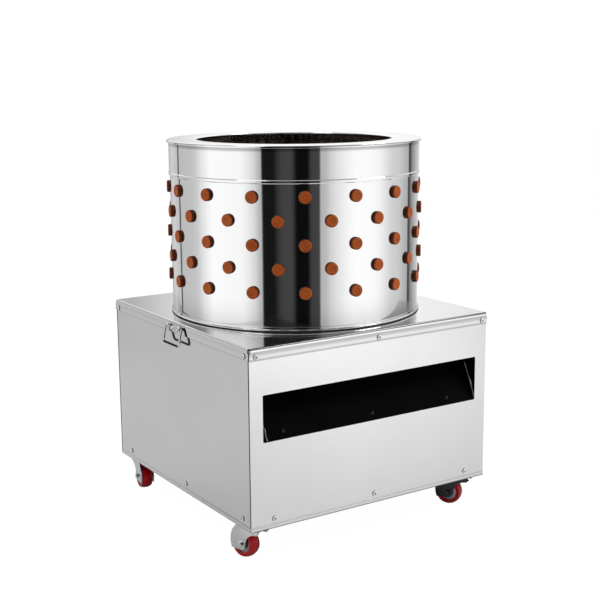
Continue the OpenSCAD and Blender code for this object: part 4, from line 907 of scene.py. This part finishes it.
plate_stainless = stainless(
    "plate_stainless", (0.80, 0.80, 0.81, 1), roughness=0.20, spread=0.14,
    ripple=(10, 10, 10), ripple_depth=0.05 * MM, grain=(260, 260, 260), grain_depth=0.003 * MM)
turned_bar = stainless(
    "turned_bar", (0.66, 0.66, 0.67, 1), roughness=0.22, spread=0.10,
    ripple=(6, 6, 6), ripple_depth=0.01 * MM, grain=(60, 60, 1400), grain_depth=0.004 * MM)
eased_copy("finger_plate", "finger_disc", 0.4 * MM, plate_stainless, "finger_plate_rotor", "plate_steel")
eased_copy("feather_paddles", "sweeping_paddles", 0.4 * MM, plate_stainless, "finger_plate_rotor",
           "plate_steel")
eased_copy("spindle", "turned_spindle", 0.6 * MM, turned_bar, "finger_plate_rotor", "turned_steel")
eased_copy("spindle_nut", "domed_nut", 0.6 * MM, plate_stainless, "finger_plate_rotor", "turned_steel")


# Slide, deck and cheeks. Sheet behind the outlet, near black and dull as painted shade for the deep shadow
# inside it: feathers land on the deck and run down the folded slide. The cheeks close its sides, with a
# bright weld seam down each.
outlet_shade_black = enamel("outlet_shade_black", (0.0015, 0.0015, 0.0015, 1), (0.01, 0.01, 0.01, 1),
                       roughness=0.70, peel=0.01 * MM, rub=0.10, shine=0.03)
eased_copy("feather_deck", "folded_deck", 0.3 * MM, outlet_shade_black, "cabinet", "black_sheet")
eased_copy("chute_cheeks", "side_cheeks", 0.3 * MM, outlet_shade_black, "cabinet", "black_sheet")
weld_bead = stainless(
    "weld_bead", (0.80, 0.80, 0.81, 1), roughness=0.30, spread=0.2,
    ripple=(60, 60, 60), ripple_depth=0.04 * MM, grain=(400, 400, 400), grain_depth=0.02 * MM)
opened(weld_bead)[1].inputs["Metallic"].default_value = 0.25
right_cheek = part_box("chute_cheeks")[1].x - 1.5 * MM
left_cheek = -267.4 * MM
slide_foot = Vector((0, -307.65, 259.5)) * MM
seam_width, burr_width, burr_place, burr_spread = 1.0 * MM, 4.4 * MM, 0.45, 0.13
for name, inner, rise_deg, start, length, thick in [
    ("right_seam", right_cheek, 65, 1.5 * MM, 84 * MM, 1.0 * MM),
    ("left_seam", left_cheek, 57, 2 * MM, 48 * MM, 0.9 * MM),
]:
    way = Vector((0, math.cos(math.radians(rise_deg)), math.sin(math.radians(rise_deg))))
    up = Vector((0, -way.z, way.y))
    points, faces = [], []
    count = 24
    for i in range(count + 1):
        share = i / count
        at = slide_foot + way * (start + length * share) + Vector((inner, 0, 0))
        wide = seam_width + burr_width * math.exp(-((share - burr_place) / burr_spread) ** 2)
        rim = [(-0.05 * MM, 0), (-0.05 * MM, wide), (-thick * 0.7, wide), (-thick, wide * 0.5),
               (-thick * 0.7, 0)]
        points += [at + Vector((x, 0, 0)) + up * (z + 0.2 * MM) for x, z in rim]
    ring = len(rim)
    for i in range(count):
        for j in range(ring):
            k = (j + 1) % ring
            faces.append((i * ring + j, i * ring + k, (i + 1) * ring + k, (i + 1) * ring + j))
    faces += [tuple(range(ring)), tuple(range(count * ring, (count + 1) * ring))]
    seam = closed_piece(name, points, faces)
    shade(seam, 60)
    fit(seam, weld_bead, "cabinet", "bright_fastener")


# Drive plate and beam. Plain steel plates on the side rails, enamelled with the frame, which
# carry two cast flange bearings and the motor.
cast_iron = enamel("cast_iron", (0.055, 0.065, 0.075, 1), (0.28, 0.28, 0.28, 1),
                   roughness=0.55, peel=0.06 * MM, rub=0.35)
eased_copy("drive_plate", "lower_plate", 0.8 * MM, frame_enamel, "cabinet", "painted_frame")
eased_copy("spindle_beam", "upper_beam", 0.8 * MM, frame_enamel, "cabinet", "painted_frame")
for node, name in [("upper_bearing", "upper_flange_bearing"), ("lower_bearing", "lower_flange_bearing")]:
    eased_copy(node, name, 1.2 * MM, cast_iron, "cabinet", "cast_housing", steps=3)


# Motor. A finned flange motor, shaft down, with a pressed cowl over its fan and a terminal box,
# all in grey-blue machine enamel.
motor_enamel = enamel("motor_enamel", (0.060, 0.125, 0.185, 1), (0.26, 0.28, 0.30, 1),
                      roughness=0.38, peel=0.03 * MM)
eased_copy("motor_body", "finned_motor", 0.6 * MM, motor_enamel, "cabinet", "motor_paint")
eased_copy("motor_cowl", "fan_cowl", 1.0 * MM, motor_enamel, "cabinet", "motor_paint", steps=3)
eased_copy("motor_terminal_box", "terminal_box", 2.2 * MM, motor_enamel, "cabinet", "motor_paint", steps=3)
eased_copy("motor_shaft", "motor_spindle", 0.6 * MM, turned_bar, "motor_rotor", "turned_steel")


# Belt and pulleys. A rubber V-belt from a small grooved pulley on the motor to a large iron one
# on the spindle. The fan is moulded.
belt_rubber = enamel("belt_rubber", (0.014, 0.014, 0.014, 1), (0.05, 0.05, 0.05, 1),
                     roughness=0.62, peel=0.08 * MM, rub=0.2)
pulley_iron = stainless(
    "pulley_iron", (0.36, 0.36, 0.37, 1), roughness=0.34, spread=0.16,
    ripple=(8, 8, 8), ripple_depth=0.02 * MM, grain=(180, 180, 700), grain_depth=0.008 * MM)
fan_plastic = enamel("fan_plastic", (0.10, 0.10, 0.105, 1), (0.20, 0.20, 0.20, 1),
                     roughness=0.48, peel=0.02 * MM, rub=0.2)
eased_copy("v_belt", "drive_belt", 0.8 * MM, belt_rubber, "cabinet", "belt_rubber")
eased_copy("drive_pulley", "large_pulley", 0.7 * MM, pulley_iron, "finger_plate_rotor", "pulley_iron")
eased_copy("motor_pulley", "small_pulley", 0.6 * MM, pulley_iron, "motor_rotor", "pulley_iron")
eased_copy("motor_fan", "cooling_fan", 0.5 * MM, fan_plastic, "motor_rotor", "dark_plastic")


# Switch box. A moulded case on the right side with a green start button, a red stop button and
# a cable gland under it.
case_plastic = enamel("case_plastic", (0.040, 0.043, 0.047, 1), (0.10, 0.10, 0.10, 1),
                      roughness=0.46, peel=0.04 * MM, rub=0.3)
green_cap = enamel("green_cap", (0.020, 0.30, 0.060, 1), (0.10, 0.42, 0.14, 1),
                   roughness=0.28, peel=0.008 * MM, rub=0.3)
red_cap = enamel("red_cap", (0.48, 0.018, 0.014, 1), (0.62, 0.09, 0.07, 1),
                 roughness=0.28, peel=0.008 * MM, rub=0.3)
eased_copy("switch_box", "switch_case", 1.4 * MM, case_plastic, "cabinet", "dark_plastic", steps=3)
eased_copy("cable_gland", "cord_gland", 0.6 * MM, case_plastic, "cabinet", "dark_plastic")
eased_copy("start_button", "start_cap", 1.6 * MM, green_cap, "start_push", "green_button", steps=4)
eased_copy("stop_button", "stop_cap", 1.6 * MM, red_cap, "stop_push", "red_button", steps=4)


# Drop handles. A bright wire loop on each side, its ends turned into the curled eyes of a strap
# that is riveted to the lid's folded side.
bright_wire = stainless(
    "bright_wire", (0.92, 0.92, 0.93, 1), roughness=0.08, spread=0.06,
    ripple=(20, 20, 20), ripple_depth=0.01 * MM, grain=(90, 900, 90), grain_depth=0.001 * MM)
zinc_plate = stainless(
    "zinc_plate", (0.74, 0.75, 0.76, 1), roughness=0.24, spread=0.16,
    ripple=(22, 22, 22), ripple_depth=0.06 * MM, grain=(220, 220, 220), grain_depth=0.006 * MM, marks=0.6)
# Painted shade: the wire darkens to black towards its outline, and shows black in every reflection, so its
# mirror image in the side sheet is dark.
tree, surface, steel = opened(bright_wire)
rim = span(tree, put(tree, "ShaderNodeLayerWeight", {"Blend": 0.5}).outputs["Facing"], 0.26, 0.44)
mirrored = put(tree, "ShaderNodeLightPath").outputs["Is Glossy Ray"]
dark = sum_of(tree, "MAXIMUM", rim, mirrored)
feed(surface, Base_Color=mixed(tree, dark, steel, (0.004, 0.004, 0.004, 1)),
     Metallic=sum_of(tree, "SUBTRACT", 1.0, dark))
surface.inputs["Specular IOR Level"].default_value = 0.05
for side in ("left", "right"):
    eased_copy(f"handle_{side}", f"{side}_wire_handle", 0.4 * MM, bright_wire, f"{side}_handle",
               "handle_wire")
eased_copy("handle_brackets", "curled_straps", 0.35 * MM, zinc_plate, "cabinet", "zinc_plate")


# Casters. Pressed zinc-plated forks that swivel on a ball race. Their tyres are red
# polyurethane with a crowned tread, moulded round pressed hubs.
red_tyre, tree, surface = new_finish(
    "red_tyre", Coat_Weight=0.12, Coat_Roughness=0.22, Specular_IOR_Level=0.20)
rub = use(tree, hand_marks, {"Size": 60.0, "Amount": 0.35})["Mask"]
# Painted shade: the red deepens to near black towards the tyre's outline.
rim = span(tree, put(tree, "ShaderNodeLayerWeight", {"Blend": 0.5}).outputs["Facing"], 0.36, 0.86)
red = mixed(tree, rub, (0.50, 0.003, 0.008, 1), (0.38, 0.002, 0.006, 1))
feed(surface, Base_Color=mixed(tree, rim, red, (0.08, 0.001, 0.003, 1)),
     Roughness=span(tree, rub, 0.0, 1.0, 0.16, 0.28))
skin = use(tree, surface_grain, {"Stretch": (300.0, 300.0, 300.0), "Depth": 0.006 * MM})["Height"]
lay_normal(tree, surface, skin)
hub_metal = stainless(
    "hub_metal", (0.34, 0.34, 0.35, 1), roughness=0.26, spread=0.12,
    ripple=(30, 30, 30), ripple_depth=0.02 * MM, grain=(300, 300, 300), grain_depth=0.003 * MM)
eased_copy("caster_plates", "swivel_plates", 0.4 * MM, zinc_plate, "cabinet", "zinc_plate")
fork_plate = stainless(
    "fork_plate", (0.80, 0.80, 0.81, 1), roughness=0.16, spread=0.10,
    ripple=(26, 26, 26), ripple_depth=0.12 * MM, grain=(300, 300, 40), grain_depth=0.004 * MM, marks=0.6)
# Painted shade: a near-black copy of the fork finish, for the second caster's fork.
shaded_plate = stainless(
    "shaded_plate", (0.055, 0.055, 0.06, 1), roughness=0.24, spread=0.14,
    ripple=(26, 26, 26), ripple_depth=0.12 * MM, grain=(300, 300, 40), grain_depth=0.006 * MM, marks=0.8)
behaviour = frame["record"]["behaviour"]
body_of_node = {n: b for b, members in behaviour["bodies"].items() for n in members}
wheel_rolls = {j["child"]: j for j in behaviour["joints"] if j["name"].endswith("wheel_roll")}
tyre_out, tyre_half, tyre_crown = 29.99 * MM, 12.5 * MM, 3.0 * MM
crown_steps, crown_power = 8, 2.4
tread = [(tyre_out - tyre_crown * abs(i / crown_steps) ** crown_power, tyre_half * i / crown_steps)
         for i in range(-crown_steps, crown_steps + 1)]
side_wall = [(r * MM, tyre_half - step * MM) for r, step in [
    (20.4, 0), (19.5, 0.7), (19.5, 2.97), (23.03, 2.97), (24.03, 0.57), (25.02, 0.57)]]
tyre_outline = [(r, -z) for r, z in reversed(side_wall)] + tread + side_wall
for i in (1, 2, 3, 4):
    swivel, wheel = body_of_node[f"caster_fork_{i}"], body_of_node[f"caster_tyre_{i}"]
    eased_copy(f"caster_fork_{i}", f"pressed_fork_{i}", 0.5 * MM, shaded_plate if i == 2 else fork_plate,
               swivel, "zinc_plate")
    eased_copy(f"caster_hub_{i}", f"wheel_hub_{i}", 0.3 * MM, hub_metal, wheel, "hub_metal")
    tyre = revolved(f"red_wheel_{i}", tyre_outline, segments=96, sharp_deg=40)
    axle = Vector(wheel_rolls[wheel]["axis"]).to_track_quat("Z", "Y").to_matrix().to_4x4()
    tyre.data.transform(Matrix.Translation(wheel_rolls[wheel]["pos_m"]) @ axle)
    fit(tyre, red_tyre, wheel, "red_tyre", f"caster_tyre_{i}")


# Screws, rivets and bolts. Bright pan heads with cross recesses hold the lid and the panels,
# domed rivets the slide and the straps, and zinc-plated hex bolts the drive and the casters.
fixed_on_seats, given = new_rule("fasteners_on_seats", [
    ("Seats", "NodeSocketGeometry"), ("Fastener", SHAPE), ("Seed", WHOLE)])
tree = fixed_on_seats
out = put(tree, "GeometryNodeInputNamedAttribute", {"Name": "out"}, data_type="FLOAT_VECTOR").outputs[0]
facing = put(tree, "FunctionNodeAlignRotationToVector", {"Vector": out}, axis="Z").outputs[0]
placed = placed_on(tree, given["Seats"], pattern_of(tree, given["Fastener"]), facing)
spun = put(tree, "FunctionNodeRandomValue", {2: 0.0, 3: math.pi, 8: given["Seed"]},
           data_type="FLOAT").outputs[1]
end_rule(tree, spun_round(tree, placed, arrow(tree, z=spun)), given["Finish"])


def seat_points(name, seats):
    """A mesh of points with the way that each fastener faces."""
    mesh = bpy.data.meshes.new(name)
    mesh.from_pydata([s[0] for s in seats], [], [])
    facing = mesh.attributes.new("out", "FLOAT_VECTOR", "POINT")
    facing.data.foreach_set("vector", [c for s in seats for c in s[1]])
    return mesh


def cross_recess(piece, reach, width, depth, top):
    """Cuts a cross recess, in millimetres, into a screw's head."""
    form = bmesh.new()
    for a in (0, math.pi / 2):
        bmesh.ops.create_cube(form, size=1, matrix=(
            Matrix.Rotation(a, 4, "Z")
            @ Matrix.Translation((0, 0, top * MM))
            @ Matrix.Diagonal((2 * reach * MM, width * MM, 2 * depth * MM, 1))))
    cutter = formed_piece("cutter", form)
    cut = piece.modifiers.new("recess", "BOOLEAN")
    cut.operation = "DIFFERENCE"
    cut.solver = "EXACT"
    cut.use_self = True
    cut.object = cutter
    bake_modifiers(piece)
    bpy.data.objects.remove(cutter)


bright_screw = stainless(
    "bright_screw", (0.98, 0.98, 0.98, 1), roughness=0.34, spread=0.10,
    ripple=(60, 60, 60), ripple_depth=0.01 * MM, grain=(200, 200, 200), grain_depth=0.002 * MM)
pan_head = revolved("pan_head", [(r * MM, z * MM) for r, z in [
    (0, 3.2), (1.6, 3.2), (3.0, 3.05), (4.3, 2.55), (5.3, 1.7), (5.9, 0.8), (6.0, 0.2),
    (5.9, 0.0), (2.4, 0.0), (2.4, -9.0), (0, -9.0)]], segments=24, sharp_deg=35, closed=False)
cross_recess(pan_head, reach=2.9, width=1.3, depth=1.8, top=3.2)
shade(pan_head, 35)
# Painted shade on the screw heads: black in the cross recess, and a dark ring round the rim as a painted
# shadow.
painted_shade_faces = pan_head.data.attributes.new("dark", "FLOAT", "FACE")
for face, mark in zip(pan_head.data.polygons, painted_shade_faces.data):
    middle = face.center / MM
    out = math.hypot(middle.x, middle.y)
    in_recess = out < 2.0 and 0.5 < middle.z < 3.12
    at_rim = out > 5.2
    mark.value = 1.0 if in_recess else 0.85 if at_rim else 0.0
tree, surface, steel = opened(bright_screw)
dark = put(tree, "ShaderNodeAttribute", attribute_name="dark").outputs["Fac"]
feed(surface, Base_Color=mixed(tree, dark, steel, (0.02, 0.02, 0.02, 1)))
surface.inputs["Metallic"].default_value = 0.3

lid_half_x, lid_half_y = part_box("lid_tray")[1].x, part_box("lid_tray")[1].y
lid_screw_height = lid_face - 17.5 * MM
corner_x, corner_y = lid_half_x - 16 * MM, lid_half_y - 19 * MM
lid_seats = [((x, end * lid_half_y, lid_screw_height), (0, end, 0))
             for end, middle in ((-1, 8 * MM), (1, 0)) for x in (-corner_x, middle, corner_x)]
lid_seats += [((side * lid_half_x, y, lid_screw_height), (side, 0, 0))
              for side in (-1, 1) for y in (-corner_y, corner_y)]

panel_half = 309.15 * MM
panel_screw_height = hem + 20.5 * MM
panel_seats = []
for along in (-254 * MM, 0, 254 * MM):
    for end in (-1, 1):
        panel_seats.append(((along, end * panel_half, panel_screw_height), (0, end, 0)))
    panel_seats.append(((panel_half, along, panel_screw_height), (1, 0, 0)))
for along in (-274 * MM, -27 * MM, 251 * MM):
    panel_seats.append(((-panel_half, along, panel_screw_height), (-1, 0, 0)))
for name, seats, seed, node in [("lid_screw_set", lid_seats, 3, "lid_screws"),
                                ("panel_screw_set", panel_seats, 8, "panel_screws")]:
    screws = made_by(fixed_on_seats, name, {"Fastener": pan_head, "Seed": seed, "Finish": bright_screw},
                     seat_points(name, seats))
    fit(screws, bright_screw, "cabinet", "bright_fastener", node)
bpy.data.objects.remove(pan_head)

rivet_steel = stainless(
    "rivet_steel", (0.80, 0.80, 0.81, 1), roughness=0.26, spread=0.12,
    ripple=(60, 60, 60), ripple_depth=0.01 * MM, grain=(200, 200, 200), grain_depth=0.002 * MM)
# Painted shade: the rivets under the outlet go near black; those on the side straps keep their tone.
reach, in_light, in_shade = 320 * MM, 300 * MM, 290 * MM
graded(rivet_steel, "X", [
    (-reach, 1.0), (-in_light, 1.0), (-in_shade, 0.04), (in_shade, 0.04), (in_light, 1.0), (reach, 1.0)])
eased_copy("sheet_rivets", "domed_rivets", 0.2 * MM, rivet_steel, "cabinet", "bright_fastener")
for node, name in [("bearing_bolts", "bearing_bolt_set"), ("motor_bolts", "motor_bolt_set"),
                   ("caster_bolts", "caster_bolt_set")]:
    eased_copy(node, name, 0.35 * MM, zinc_plate, "cabinet", "bright_fastener")


bpy.context.view_layer.update()
